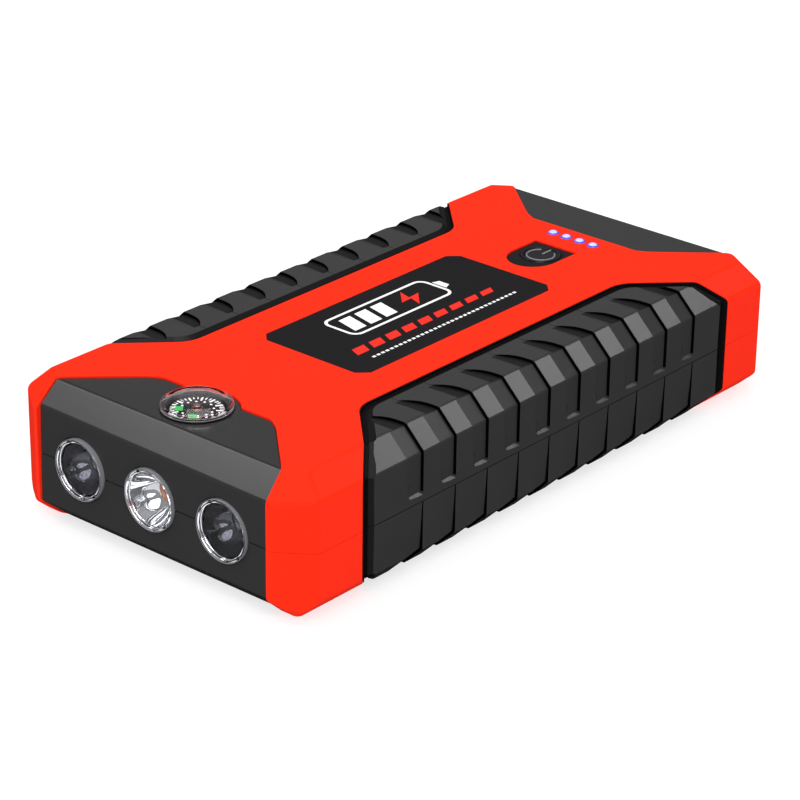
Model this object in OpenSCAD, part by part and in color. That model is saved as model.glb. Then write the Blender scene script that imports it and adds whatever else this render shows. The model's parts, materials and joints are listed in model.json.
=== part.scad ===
// Hand-sized jump starter pack: two case halves, dark end panels, ribbed side grips, three front
// lights, a button compass, a power button, sockets at the rear, and the cells and boards inside.
// Millimetres. X runs across the pack, Y from the lights to the sockets, Z up from the underside.

/* [Case] */
// Length of the case, front to rear
case_l = 170; // [168:0.5:174]
// Width of the case
case_w = 87; // [86:0.5:92]
// Height of the case
case_h = 33.6; // [33.6:0.2:35]
// Wall thickness of the two covers
wall = 2; // [1.8:0.1:2.2]
// Height of the bevel that runs round the top and the bottom
bevel_h = 5.1; // [4.6:0.1:5.4]
// How far the end panels sit below the covers
panel_sink = 0.4; // [0.2:0.1:0.6]

/* [Side grips] */
// Thickness of the side grips
grip_t = 3; // [2.6:0.1:3.2]
// Ribs on each grip
rib_count = 11; // [9:1:12]
// Distance from one rib to the next
rib_pitch = 10.85; // [9.6:0.05:11]
// Depth of a groove at its deep end
groove_depth = 0.7; // [0.5:0.1:1.2]

/* [Front lights] */
// Diameter of each front lens
lens_d = 14.6; // [12:0.2:15]
// Distance between two lenses
lens_pitch = 21.4; // [19:0.2:22]

/* [Compass] */
// Diameter of the compass rim
compass_d = 16.2; // [15:0.1:17]
// Height of the compass above the end panel
compass_rise = 2.9; // [2:0.1:3.5]

/* [Button and indicators] */
// Diameter of the power button
button_d = 10; // [9:0.2:10.4]
// Travel of the power button
button_travel = 0.5; // [0.3:0.1:0.6]
// Number of charge indicators
indicator_count = 4; // [3:1:5]
// Diameter of one indicator
indicator_d = 3; // [2:0.5:3]

/* [Cells] */
// Thickness of one of the four pouch cells
cell_t = 5.5; // [4.5:0.1:5.5]

/* [Hidden] */

$fn = 48;
eps = 0.01;
far = 200;

// The case: half sizes, parting plane, and how far each bevel runs in from the side, end and corner.
half_w = case_w / 2;
half_l = case_l / 2;
mid_z = case_h / 2;
side_bevel = 5.2;
end_bevel = 5.7;
end_bevel_h = 5.7;
corner_low = [3, 3.4];
corner_x = 8.4;
corner_y = 6;
corner_turn = atan2(corner_x, corner_y);
corner_reach = half_w * cos(corner_turn) + (half_l - corner_y) * sin(corner_turn);

// End panels: half width at the end face, at the top of the bevel and at the inner edge.
panel_face = 34.1;
panel_top = 33.5;
panel_corner = 0.3;
panel_inner = 18.6;
panel_depth = 19.8;
panel_lobe_depth = 21.2;
panel_turn = 1.4;
panel_wall = wall + 1.2;
panel_lip = 2;

// Grips: the inner edge, the turn of its outline, and where it crosses the bevel.
grip_inner = 25.2;
grip_turn_r = 8;
grip_diag_x = 38.4;
grip_diag_y = 59.3;
grip_end_y = 65.3;
grip_backing = 1.6;
pocket_depth = grip_t + grip_backing;
groove_run = rib_pitch / 2;
groove_inner = 30.5;
groove_first = -groove_run * (rib_count - 1) + rib_pitch * 0.77;
groove_ledge = 1.6;

// Front lights.
lens_r = lens_d / 2;
lens_x = [-lens_pitch, 0, lens_pitch];
lens_t = 1.2;
lens_gap = 0.1;
reflector_back = -half_l + 11.4;
reflector_throat = 2.6;
bowl_depth = 6.6;
torch_led_t = 1.6;
lamp_r = 2.4;
lamp_flange_r = 2.9;
lamp_tip = 4.6;
board_t = 1.6;

// Compass.
compass_y = -half_l + 15.2;
compass_r = compass_d / 2;
lobe_r = compass_r + 1.3;
panel_z = case_h - panel_sink;
cup_r = compass_r - 0.6;
cup_floor = panel_z - 5.2;
dial_r = 6;
dial_z = panel_z - 1.2;
dial_t = 0.5;
hub_r = 1.4;
magnet_half_x = 4;
magnet_half_y = 1.75;
pivot_r = 0.5;
run_gap = 0.06;

// Button, its trim and the indicators.
button_y = 48.2;
button_r = button_d / 2;
bezel_half = 6.2;
bezel_front = 38.6;
bezel_rear = 54.2;
bezel_round = 7;
bezel_t = 0.8;
bezel_sink = 0.4;
flange_t = 0.6;
ceiling = case_h - wall;
button_base = ceiling - 0.1 - flange_t;
plunger_r = 1.75;
plunger_h = 1.6;
switch_half = 3;
switch_board_z = 26.4;
switch_board_t = 1.2;
indicator_y = 60.8;
indicator_pitch = 4.07;
indicator_r = indicator_d / 2;

// Label.
label_half_x = 15.7;
label_half_y = 33.9;
label_corner = 2.5;
label_t = 0.3;

// Cells.
cell_half_x = 34;
cell_front = -62;
cell_rear = 38;
cell_bottom = 5.2;
cell_gap = 0.1;
cell_count = 4;
cell_edge = 1.2;
foam_half_x = 23;
foam_inset = 4;
bus_t = 0.5;
cell_top = cell_bottom + cell_count * (cell_t + cell_gap) - cell_gap;

// Rear sockets.
socket_face = half_l - 0.7;
jack_front = half_l - panel_wall - 0.1;
usb_depth = 15.2;
tongue_w = 11.2;
main_board_z = 5;
main_board_top = main_board_z + board_t;
usb_x = [-16, -1.6];
usb_w = 13.2;
usb_h = 5.8;
usb_rise = 4.6;
usb_wall = 0.4;
jack_x = -28.3;
jack_rise = 5.6;
jack_r = 4;
jack_bore_r = 3;
jack_pin_r = 1.05;
jack_body = 8.8;
jack_depth = 6.6;
jump_x = 21.2;
jump_pitch = 10;
contact_bore_r = 2.5;
contact_r = 3.1;
contact_mouth = half_l - 4.5;
contact_floor = contact_mouth - 12.5;
jump_w = 22;
jump_h = 12;
mouth_w = 19.2;
mouth_h = 9.6;
flap_w = 22.6;
flap_h = 13;
flap_x = 10;
flap_pocket = 2;
hinge_x = 8.6;
hinge_y = half_l - 0.9;
knuckle_r = 0.85;
hinge_pin_r = 0.5;
knuckle_half = 3;
lug_len = 3.4;

// Fasteners.
boss_x = 35.5;
boss_y = 70;
boss_r = 3.2;
case_screw_r = 1.25;
case_head_r = 2.4;
board_screw_r = 0.95;
post_r = 2.3;
post_x = 28;
post_y = [62, 69.5];
switch_post_x = 10.5;
switch_post_y = 56;

// Octagon of half sizes hw and hh whose corners are cut by bw and bh, with every side moved in by t.
function octagon(hw, hh, bw, bh, t) =
    let (reach = hw * bh + (hh - bh) * bw - t * norm([bw, bh]),
        x1 = hw - t, y1 = (reach - x1 * bh) / bw,
        y2 = hh - t, x2 = (reach - y2 * bw) / bh)
    [[x1, y1], [x2, y2], [-x2, y2], [-x1, y1], [-x1, -y1], [-x2, -y2], [x2, -y2], [x1, -y1]];

// Two ends of the upper right side that a [width, height] bevel cuts from such a section.
function bevel_ends(hw, hh, bevel, t) =
    let (reach = hw * bevel[1] + (hh - bevel[1]) * bevel[0] - t * norm(bevel), x = hw - t, y = hh - t)
    [[x, (reach - x * bevel[1]) / bevel[0]], [(reach - y * bevel[0]) / bevel[1], y]];

// The same section with one bevel along its upper corners and another along its lower ones.
function bar_section(hw, hh, upper, lower, t) =
    let (a = bevel_ends(hw, hh, upper, t), b = bevel_ends(hw, hh, lower, t))
    [a[0], a[1], [-a[1][0], a[1][1]], [-a[0][0], a[0][1]],
     [-b[0][0], -b[0][1]], [-b[1][0], -b[1][1]], [b[1][0], -b[1][1]], [b[0][0], -b[0][1]]];

// Points on an arc about a centre.
function arc(cx, cy, r, from, to, steps) =
    [for (i = [0 : steps]) let (a = from + (to - from) * i / steps) [cx + r * cos(a), cy + r * sin(a)]];

// Bar along Y, or along X when turned, with an octagon for its section.
module bevelled_bar(points, turn = 0) {
    rotate([0, 0, turn]) translate([0, 0, mid_z]) rotate([90, 0, 0])
        linear_extrude(height = 2 * far, center = true) polygon(points);
}

// The outer form of the case with every face moved in by t.
module case_block(t) {
    corner = bar_section(corner_reach, mid_z, [side_bevel, bevel_h], corner_low, t);
    intersection() {
        bevelled_bar(octagon(half_w, mid_z, side_bevel, bevel_h, t));
        bevelled_bar(bar_section(half_l, mid_z, [end_bevel, end_bevel_h], [end_bevel, bevel_h], t), 90);
        bevelled_bar(corner, corner_turn);
        bevelled_bar(corner, -corner_turn);
        translate([0, 0, -far / 2]) linear_extrude(height = far)
            polygon(octagon(half_w, half_l, corner_x, corner_y, t));
    }
}

module case_shell(outer, inner) {
    difference() {
        case_block(outer);
        case_block(inner);
    }
}

module upper_half() {
    intersection() {
        children();
        translate([-far / 2, -far / 2, mid_z]) cube(far);
    }
}

module lower_half() {
    intersection() {
        children();
        translate([-far / 2, -far / 2, mid_z - far]) cube(far);
    }
}

// Plan of an end panel, grown by g; the front one has a lobe round the compass.
module end_panel_prism(g, lobe) {
    depth = lobe ? panel_lobe_depth : panel_depth;
    translate([0, 0, -far / 2]) linear_extrude(height = far) {
        polygon([for (s = [-1, 1]) each [for (i = [0 : 4]) let (k = s < 0 ? i : 4 - i)
            [[s * (panel_face + g), -half_l - 1], [s * (panel_face + g), -half_l],
             [s * (panel_top + g), -half_l + end_bevel + panel_corner],
             [s * (panel_inner + g * 0.7), -half_l + depth - panel_turn + g * 0.7],
             [s * (panel_inner - 2 * panel_turn + g * 0.3), -half_l + depth + g]][k]]]);
        if (lobe) translate([0, compass_y]) circle(r = lobe_r + g);
    }
}

module end_panel(lobe) {
    color("#3d3d3f") {
        intersection() {
            end_panel_prism(0, lobe);
            case_shell(panel_sink, wall + panel_sink);
        }
        intersection() {
            end_panel_prism(panel_lip, lobe);
            case_shell(wall, panel_wall);
        }
    }
}

// Plan of the right grip, grown by g.
module grip_prism(g) {
    turn_y = grip_diag_y - grip_diag_x + grip_inner;
    arc_y = turn_y + g * 0.41 - grip_turn_r * tan(22.5);
    half = concat(arc(grip_inner - g + grip_turn_r, arc_y, grip_turn_r, 180, 135, 6),
        [[grip_diag_x, grip_diag_y + g * 1.37], [half_w, grip_end_y + g * 1.2],
        [far / 2, grip_end_y + g * 1.2]]);
    translate([0, 0, -far / 2]) linear_extrude(height = far)
        polygon(concat(half, [for (i = [len(half) - 1 : -1 : 0]) [half[i][0], -half[i][1]]]));
}

// Wedge that deepens towards +Y, lying under the XY plane with its back at y = groove_run.
module groove_wedge(length) {
    rotate([90, 0, 90]) linear_extrude(height = length)
        polygon([[0, 0], [groove_run, -groove_depth], [groove_run, 1], [0, 1]]);
}

// One groove of the right grip: across the top, over the bevel and down the side.
module groove(top) {
    bevel_tilt = atan2(bevel_h, side_bevel);
    bevel_len = norm([bevel_h, side_bevel]);
    if (top) {
        translate([groove_inner, 0, case_h]) groove_wedge(half_w);
        translate([half_w - side_bevel, 0, case_h]) rotate([0, bevel_tilt, 0])
            translate([-bevel_len, 0, 0]) groove_wedge(3 * bevel_len);
    }
    translate([half_w, 0, top ? far : mid_z - groove_ledge]) rotate([0, 90, 0])
        groove_wedge(top ? far - mid_z - groove_ledge : mid_z);
}

module right_grip(top) {
    color("#37363b") difference() {
        intersection() {
            grip_prism(0);
            case_shell(0, grip_t);
        }
        for (i = [0 : rib_count - 2])
            translate([0, groove_first + i * rib_pitch - groove_run, 0]) groove(top);
    }
}

module grip_pockets() {
    for (s = [0, 1]) mirror([s, 0, 0]) difference() {
        grip_prism(0);
        case_block(grip_t);
    }
}

// A cover's wall: the shell, thickened behind the grips, less the pockets and the end panels.
module cover_shell(lobe) {
    difference() {
        union() {
            case_shell(0, wall);
            intersection() {
                union() {
                    grip_prism(grip_backing);
                    mirror([1, 0, 0]) grip_prism(grip_backing);
                }
                case_shell(0, pocket_depth);
            }
        }
        grip_pockets();
        end_panel_prism(0, lobe);
        mirror([0, 1, 0]) end_panel_prism(0, false);
    }
}

module at_bosses() {
    for (x = [-boss_x, boss_x], y = [-boss_y, boss_y]) translate([x, y, 0]) children();
}

module at_posts() {
    for (x = [-post_x, post_x], y = post_y) translate([x, y, 0]) children();
}

module at_switch_posts() {
    for (x = [-switch_post_x, switch_post_x]) translate([x, switch_post_y, 0]) children();
}

module at_indicators() {
    for (i = [0 : indicator_count - 1])
        translate([(i - (indicator_count - 1) / 2) * indicator_pitch, indicator_y, 0]) children();
}

// Shield-shaped plan of the button's trim: a flat rear edge, straight sides and a rounded front.
module shield(height) {
    linear_extrude(height = height) polygon(concat([[bezel_half, bezel_rear], [-bezel_half, bezel_rear]],
        [for (i = [0 : 16]) let (a = 180 + 180 * i / 16)
            [bezel_half * cos(a), bezel_front + bezel_round + bezel_round * sin(a)]]));
}

module label_plan(height) {
    linear_extrude(height = height)
        polygon(octagon(label_half_x, label_half_y, label_corner, label_corner, 0));
}

module upper_cover() {
    color("#f03a20") {
        difference() {
            upper_half() cover_shell(true);
            translate([0, 0, case_h - label_t]) label_plan(1);
            translate([0, 0, case_h - bezel_sink - bezel_t]) shield(5);
            translate([0, button_y, ceiling - 1]) cylinder(r = button_r + 0.1, h = 5);
            at_indicators() translate([0, 0, ceiling - 1]) cylinder(r = indicator_r + 0.05, h = 5);
        }
        difference() {
            at_bosses() translate([0, 0, mid_z]) cylinder(r = boss_r, h = ceiling - mid_z);
            at_bosses() translate([0, 0, mid_z - 1]) cylinder(r = case_screw_r + 0.05, h = 10);
        }
        difference() {
            at_switch_posts() translate([0, 0, switch_board_z + switch_board_t])
                cylinder(r = 2, h = ceiling - switch_board_z - switch_board_t);
            at_switch_posts() cylinder(r = board_screw_r + 0.05, h = ceiling - 1);
        }
    }
}

module lower_cover() {
    color("#f03a20") {
        difference() {
            union() {
                lower_half() cover_shell(false);
                at_bosses() translate([0, 0, wall / 2]) cylinder(r = boss_r, h = mid_z - wall / 2);
            }
            at_bosses() translate([0, 0, -1]) {
                cylinder(r = case_screw_r + 0.2, h = mid_z + 2);
                cylinder(r = case_head_r + 0.15, h = 4);
            }
        }
        difference() {
            at_posts() translate([0, 0, wall]) cylinder(r = post_r, h = main_board_z - wall);
            at_posts() translate([0, 0, wall + 0.6]) cylinder(r = board_screw_r + 0.05, h = far);
        }
    }
}

module lens_holes() {
    for (x = lens_x) translate([x, -half_l + 10, mid_z]) rotate([90, 0, 0])
        cylinder(r = lens_r + lens_gap, h = 20);
}

module front_panel_upper() {
    color("#3d3d3f") difference() {
        upper_half() end_panel(true);
        lens_holes();
        translate([0, compass_y, cup_floor - 5]) cylinder(r = cup_r + lens_gap, h = 20);
    }
}

module front_panel_lower() {
    color("#3d3d3f") difference() {
        lower_half() end_panel(false);
        lens_holes();
    }
}

// Everything that is cut out of the rear end panels.
module rear_openings() {
    cut_y = half_l - 10;
    for (x = usb_x, s = [-1, 1])
        translate([x - usb_w / 2 - 0.1, cut_y, mid_z + s * usb_rise - usb_h / 2 - 0.1])
            cube([usb_w + 0.2, 20, usb_h + 0.2]);
    for (s = [-1, 1]) translate([jack_x, cut_y, mid_z + s * jack_rise]) rotate([-90, 0, 0])
        cylinder(r = jack_r + 0.1, h = 20);
    translate([jump_x - jump_w / 2 - 0.1, cut_y, mid_z - jump_h / 2 - 0.1])
        cube([jump_w + 0.2, 20, jump_h + 0.2]);
    translate([hinge_x - 1.6, half_l - flap_pocket, mid_z - flap_h / 2 - 0.3])
        cube([flap_x + flap_w + 0.3 - hinge_x + 1.6, 5, flap_h + 0.6]);
}

// One lug of the flap's hinge, standing in the pocket above the knuckle.
module hinge_lug() {
    translate([hinge_x, 0, mid_z + knuckle_half + 0.1]) difference() {
        union() {
            translate([0, hinge_y, 0]) cylinder(r = knuckle_r, h = lug_len);
            translate([-knuckle_r, half_l - flap_pocket - eps, 0])
                cube([2 * knuckle_r, hinge_y - half_l + flap_pocket + eps, lug_len]);
        }
        translate([0, hinge_y, -1]) cylinder(r = hinge_pin_r, h = lug_len + 2);
    }
}

module rear_panel() {
    difference() {
        mirror([0, 1, 0]) end_panel(false);
        rear_openings();
    }
}

module rear_panel_upper() {
    color("#454547") {
        upper_half() rear_panel();
        hinge_lug();
    }
}

module rear_panel_lower() {
    color("#454547") {
        lower_half() rear_panel();
        translate([0, 0, case_h]) mirror([0, 0, 1]) hinge_lug();
    }
}

module right_grip_upper() { upper_half() right_grip(true); }
module right_grip_lower() { lower_half() right_grip(false); }
module left_grip_upper() { mirror([1, 0, 0]) right_grip_upper(); }
module left_grip_lower() { mirror([1, 0, 0]) right_grip_lower(); }

module label_plate() { color("#2a2829") translate([0, 0, case_h - label_t]) label_plan(label_t); }

module button_bezel() {
    color("#1d1e20") difference() {
        translate([0, 0, case_h - bezel_sink - bezel_t]) shield(bezel_t);
        translate([0, button_y, ceiling]) cylinder(r = button_r + run_gap, h = 5);
    }
}

module power_button() {
    color("#26272a") translate([0, button_y, button_base]) {
        cylinder(r = button_r, h = case_h - 0.15 - button_base);
        cylinder(r = button_r + 0.9, h = flange_t);
    }
}

module switch_plunger() {
    color("#1a1a1a") translate([0, button_y, button_base - plunger_h]) cylinder(r = plunger_r, h = plunger_h);
}

module tact_switch() {
    base = switch_board_z + switch_board_t;
    color("silver") difference() {
        translate([-switch_half, button_y - switch_half, base])
            cube([2 * switch_half, 2 * switch_half, button_base - base - button_travel - 0.2]);
        translate([0, button_y, base + 0.5]) cylinder(r = plunger_r + run_gap, h = 5);
    }
}

module control_board() {
    color("#1f6b3a") difference() {
        translate([-13, 41, switch_board_z]) cube([26, 25, switch_board_t]);
        at_switch_posts() translate([0, 0, switch_board_z - 1]) cylinder(r = board_screw_r + 0.15, h = 5);
    }
}

module indicator_leds() {
    base = switch_board_z + switch_board_t;
    color("#dfe4ff") at_indicators() {
        translate([0, 0, base]) cylinder(r = indicator_r + 0.25, h = 1);
        translate([0, 0, base]) cylinder(r = indicator_r, h = case_h - 0.6 - base);
        intersection() {
            translate([0, 0, case_h - 1.1]) sphere(r = indicator_r + 0.1);
            translate([0, 0, case_h - 0.6]) cylinder(r = indicator_r, h = 3);
        }
    }
}

module compass_cup() {
    color("#161617") translate([0, compass_y, 0]) difference() {
        union() {
            translate([0, 0, cup_floor - 1]) cylinder(r = cup_r, h = panel_z - cup_floor + 1);
            translate([0, 0, panel_z]) cylinder(r = compass_r, h = 0.5);
        }
        translate([0, 0, cup_floor]) cylinder(r = cup_r - 1, h = 20);
        translate([0, 0, cup_floor - 2]) cylinder(r = pivot_r, h = 5);
    }
}

module compass_pivot() {
    color("#c9a24a") translate([0, compass_y, cup_floor - 1])
        cylinder(r = pivot_r, h = dial_z - cup_floor + 0.7);
}

module compass_dial() {
    color("#202022") translate([0, compass_y, 0]) difference() {
        union() {
            translate([0, 0, dial_z - dial_t]) cylinder(r = dial_r, h = dial_t);
            translate([0, 0, dial_z - 1]) cylinder(r = hub_r, h = 2);
        }
        translate([0, 0, dial_z - 2]) cylinder(r = pivot_r + run_gap, h = 1.9);
    }
}

module compass_magnet() {
    color("#6a6a70") translate([0, compass_y, dial_z - dial_t - 1]) difference() {
        translate([-magnet_half_x, -magnet_half_y, 0]) cube([2 * magnet_half_x, 2 * magnet_half_y, 1]);
        translate([0, 0, -1]) cylinder(r = hub_r, h = 3);
    }
}

module compass_dome() {
    base = panel_z + 0.5;
    top = panel_z + compass_rise;
    rim = compass_r - 0.15;
    flat = compass_r * 0.8;
    color("#d8e4ea") translate([0, compass_y, 0]) rotate_extrude()
        polygon([[rim, base], [rim, base + 0.7], [flat, top - 0.35], [flat * 0.6, top - 0.08], [0, top],
            [0, top - 0.9], [flat * 0.6, top - 1], [flat - 0.5, top - 1.3], [rim - 1.5, base + 0.5],
            [rim - 1.5, base]]);
}

module torch_lens(x) {
    color("#dfe9f0") translate([x, -half_l + lens_t, mid_z]) rotate([90, 0, 0])
        cylinder(r = lens_r, h = lens_t);
}

// Reflector of revolution about the light's axis: neck in the panel's hole, flange behind it, then a bowl.
module torch_reflector(x) {
    neck = lens_t;
    flange = panel_wall;
    back = half_l + reflector_back;
    throat = reflector_throat;
    bowl = [for (i = [0 : 8]) let (k = i / 8)
        [throat + (lens_r - throat - 0.8) * sqrt(k), bowl_depth - k * (bowl_depth - neck)]];
    color("#d6d8dc") translate([x, -half_l, mid_z]) rotate([-90, 0, 0]) rotate_extrude()
        polygon(concat([[lens_r, neck], [lens_r, flange], [lens_r + 1.3, flange], [lens_r + 1.3, flange + 1],
            [lens_r - 0.4, flange + 1], [5, back - 2.4], [4, back], [throat, back]], bowl));
}

module torch_lens_left() { torch_lens(lens_x[0]); }
module torch_lens_middle() { torch_lens(lens_x[1]); }
module torch_lens_right() { torch_lens(lens_x[2]); }
module torch_reflector_left() { torch_reflector(lens_x[0]); }
module torch_reflector_middle() { torch_reflector(lens_x[1]); }
module torch_reflector_right() { torch_reflector(lens_x[2]); }

// Round-topped lamps, each with a flange that stands on the board.
module torch_leds() {
    foot = reflector_back + torch_led_t;
    color("#f5e27a") for (x = lens_x) translate([x, foot, mid_z]) rotate([90, 0, 0]) {
        cylinder(r = lamp_flange_r, h = 1);
        cylinder(r = lamp_r, h = foot + half_l - lamp_tip - lamp_r);
        translate([0, 0, foot + half_l - lamp_tip - lamp_r]) sphere(r = lamp_r);
    }
}

module torch_board() {
    color("#1f6b3a") translate([-29, reflector_back + torch_led_t, mid_z - 7.3]) cube([58, board_t, 15]);
}

// One pouch cell, numbered from the bottom of the stack.
module battery_cell(i) {
    color("#9fa6ad") {
        translate([0, (cell_front + cell_rear) / 2, cell_bottom + i * (cell_t + cell_gap) + cell_t / 2])
            rotate([90, 0, 0]) linear_extrude(height = cell_rear - cell_front, center = true)
            polygon(octagon(cell_half_x, cell_t / 2, cell_edge, cell_edge, 0));
    }
}

module battery_cell_1() { battery_cell(0); }
module battery_cell_2() { battery_cell(1); }
module battery_cell_3() { battery_cell(2); }
module battery_cell_4() { battery_cell(3); }

// Strips behind the cells, each joining two neighbours, and the two end tabs that feed the jump leads.
module cell_bus_bars() {
    step = cell_t + cell_gap;
    color("#b9bcc0") {
        for (i = [0 : cell_count - 2])
            translate([i % 2 == 0 ? -24 : -8, cell_rear, cell_bottom + i * step + 2])
                cube([10, bus_t, step + 1.5]);
        for (s = [-1, 1]) translate([jump_x + s * jump_pitch / 2 - 4, cell_rear, mid_z - 5]) cube([8, 1, 10]);
    }
}

module battery_foam_top() {
    color("#55565a") translate([-foam_half_x, cell_front + foam_inset, cell_top])
        cube([2 * foam_half_x, cell_rear - cell_front - 2 * foam_inset, ceiling - cell_top]);
}

module battery_foam_bottom() {
    color("#55565a") translate([-foam_half_x, cell_front + foam_inset, wall])
        cube([2 * foam_half_x, cell_rear - cell_front - 2 * foam_inset, cell_bottom - wall]);
}

module main_board() {
    color("#1f6b3a") difference() {
        translate([-31, 58, main_board_z]) cube([62, half_l - 5.5 - 58, board_t]);
        at_posts() translate([0, 0, main_board_z - 1]) cylinder(r = board_screw_r + 0.15, h = 5);
    }
}

// Stacked pair of sockets: a metal block on the board with two open sleeves through the panel.
module usb_socket(x) {
    block_front = jack_front;
    block_back = block_front - usb_depth;
    color("#b4b7bb") difference() {
        union() {
            translate([x - usb_w / 2, block_back, main_board_top])
                cube([usb_w, block_front - block_back, mid_z + usb_rise + usb_h / 2 - main_board_top]);
            for (s = [-1, 1]) translate([x - usb_w / 2, block_front - 1, mid_z + s * usb_rise - usb_h / 2])
                cube([usb_w, socket_face - block_front + 1, usb_h]);
        }
        for (s = [-1, 1])
            translate([x - usb_w / 2 + usb_wall, block_back + 2, mid_z + s * usb_rise - usb_h / 2 + usb_wall])
                cube([usb_w - 2 * usb_wall, 30, usb_h - 2 * usb_wall]);
    }
}

module usb_socket_left() { usb_socket(usb_x[0]); }
module usb_socket_right() { usb_socket(usb_x[1]); }

module usb_tongues() {
    back = jack_front - usb_depth + 2;
    color("#f2f2f0") for (x = usb_x, s = [-1, 1])
        translate([x - tongue_w / 2, back, mid_z + s * usb_rise + 0.35]) cube([tongue_w, 12.5, 1.8]);
}

// Round power jack: a square body behind the panel and a round barrel through it.
module dc_jack(s) {
    back = jack_front - jack_depth;
    color("#17181a") translate([jack_x, 0, mid_z + s * jack_rise]) difference() {
        union() {
            translate([-jack_body / 2, back, -jack_body / 2])
                cube([jack_body, jack_depth, jack_body]);
            translate([0, jack_front - 1, 0]) rotate([-90, 0, 0])
                cylinder(r = jack_r, h = socket_face - jack_front + 1);
        }
        translate([0, back + 1.6, 0]) rotate([-90, 0, 0]) cylinder(r = jack_bore_r, h = 20);
        translate([0, back - 1, 0]) rotate([-90, 0, 0]) cylinder(r = jack_pin_r + eps, h = 5);
    }
}

module dc_output_jack() { dc_jack(1); }
module dc_input_jack() { dc_jack(-1); }

// Centre pins of the two jacks, each with a tail behind its body.
module dc_pins() {
    back = jack_front - jack_depth - 1.5;
    color("#d9b45a") for (s = [-1, 1]) translate([jack_x, back, mid_z + s * jack_rise])
        rotate([-90, 0, 0]) cylinder(r = jack_pin_r, h = socket_face - 1 - back);
}

module jump_socket() {
    back = contact_floor - 4;
    color("#2a3f8f") difference() {
        translate([jump_x - jump_w / 2, back, mid_z - jump_h / 2])
            cube([jump_w, half_l - flap_pocket - back, jump_h]);
        translate([jump_x - mouth_w / 2, contact_floor, mid_z - mouth_h / 2]) cube([mouth_w, 30, mouth_h]);
        for (s = [-1, 1]) translate([jump_x + s * jump_pitch / 2, back - 1, mid_z])
            rotate([-90, 0, 0]) cylinder(r = contact_r, h = 10);
    }
}

module jump_contacts() {
    back = contact_floor - 8;
    color("#d9b45a") for (s = [-1, 1]) translate([jump_x + s * jump_pitch / 2, back, mid_z])
        rotate([-90, 0, 0]) difference() {
            cylinder(r = contact_r, h = contact_mouth - back);
            translate([0, 0, contact_floor - back]) cylinder(r = contact_bore_r, h = 20);
        }
}

// Flap over the jump socket: plate, inner plug ring, and the knuckle it turns on.
module dust_cover() {
    plate_y = half_l - flap_pocket + 0.1;
    plug_w = mouth_w - 0.6;
    plug_h = mouth_h - 0.6;
    color("#232426") difference() {
        union() {
            translate([flap_x, plate_y, mid_z - flap_h / 2]) cube([flap_w, half_l - 0.1 - plate_y, flap_h]);
            translate([hinge_x, hinge_y - 0.8, mid_z - knuckle_half]) cube([2, 1.6, 2 * knuckle_half]);
            translate([hinge_x, hinge_y, mid_z - knuckle_half]) cylinder(r = knuckle_r, h = 2 * knuckle_half);
            difference() {
                translate([jump_x - plug_w / 2, plate_y - 1.5, mid_z - plug_h / 2])
                    cube([plug_w, 1.6, plug_h]);
                translate([jump_x - plug_w / 2 + 1, plate_y - 2, mid_z - plug_h / 2 + 1])
                    cube([plug_w - 2, 2, plug_h - 2]);
            }
        }
        translate([hinge_x, hinge_y, 0]) cylinder(r = hinge_pin_r + 0.05, h = case_h);
    }
}

module dust_cover_pin() {
    color("silver") translate([hinge_x, hinge_y, mid_z - knuckle_half - 0.1 - lug_len])
        cylinder(r = hinge_pin_r, h = 2 * (knuckle_half + 0.1 + lug_len));
}

module jump_leads() {
    color("#b02020") for (s = [-1, 1]) translate([jump_x + s * jump_pitch / 2, cell_rear + 1, mid_z])
        rotate([-90, 0, 0]) cylinder(r = 2, h = contact_floor - 8 - cell_rear - 1);
}

// A wire of radius r along points, as eight-sided runs that overlap a little at each turn.
module wire(points, r) {
    last = len(points) - 2;
    for (i = [0 : last]) {
        run = points[i + 1] - points[i];
        before = i > 0 ? r / 2 : 0;
        after = i < last ? r / 2 : 0;
        translate(points[i]) rotate([0, acos(run[2] / norm(run)), atan2(run[1], run[0])])
            translate([0, 0, -before]) cylinder(r = r, h = norm(run) + before + after, $fn = 8);
    }
}

// Two thin wires from the torch board, round the cells, to the front edge of the main board.
module torch_wires() {
    start_y = reflector_back + torch_led_t + board_t;
    color("#8a1c1c") for (s = [-1, 1]) {
        z = mid_z + 2 * s;
        end_x = 29.7 - 0.75 * s;
        wire([[26, start_y, z], [26, -65, z], [36.3, -65, z], [36.3, 54, z], [end_x, 59.2, z],
            [end_x, 59.2, main_board_top]], 0.65);
    }
}

module case_screws() {
    color("#8d9096") at_bosses() {
        translate([0, 0, 0.9]) cylinder(r = case_head_r, h = 2.1);
        translate([0, 0, 2]) cylinder(r = case_screw_r, h = 20);
    }
}

module board_screws() {
    color("#8d9096") {
        at_posts() {
            translate([0, 0, main_board_top]) cylinder(r = 1.8, h = 1.2);
            translate([0, 0, wall + 0.8]) cylinder(r = board_screw_r, h = main_board_top - wall);
        }
        at_switch_posts() {
            translate([0, 0, switch_board_z - 1.2]) cylinder(r = 1.8, h = 1.2);
            translate([0, 0, switch_board_z - 1]) cylinder(r = board_screw_r, h = 5);
        }
    }
}

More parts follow.
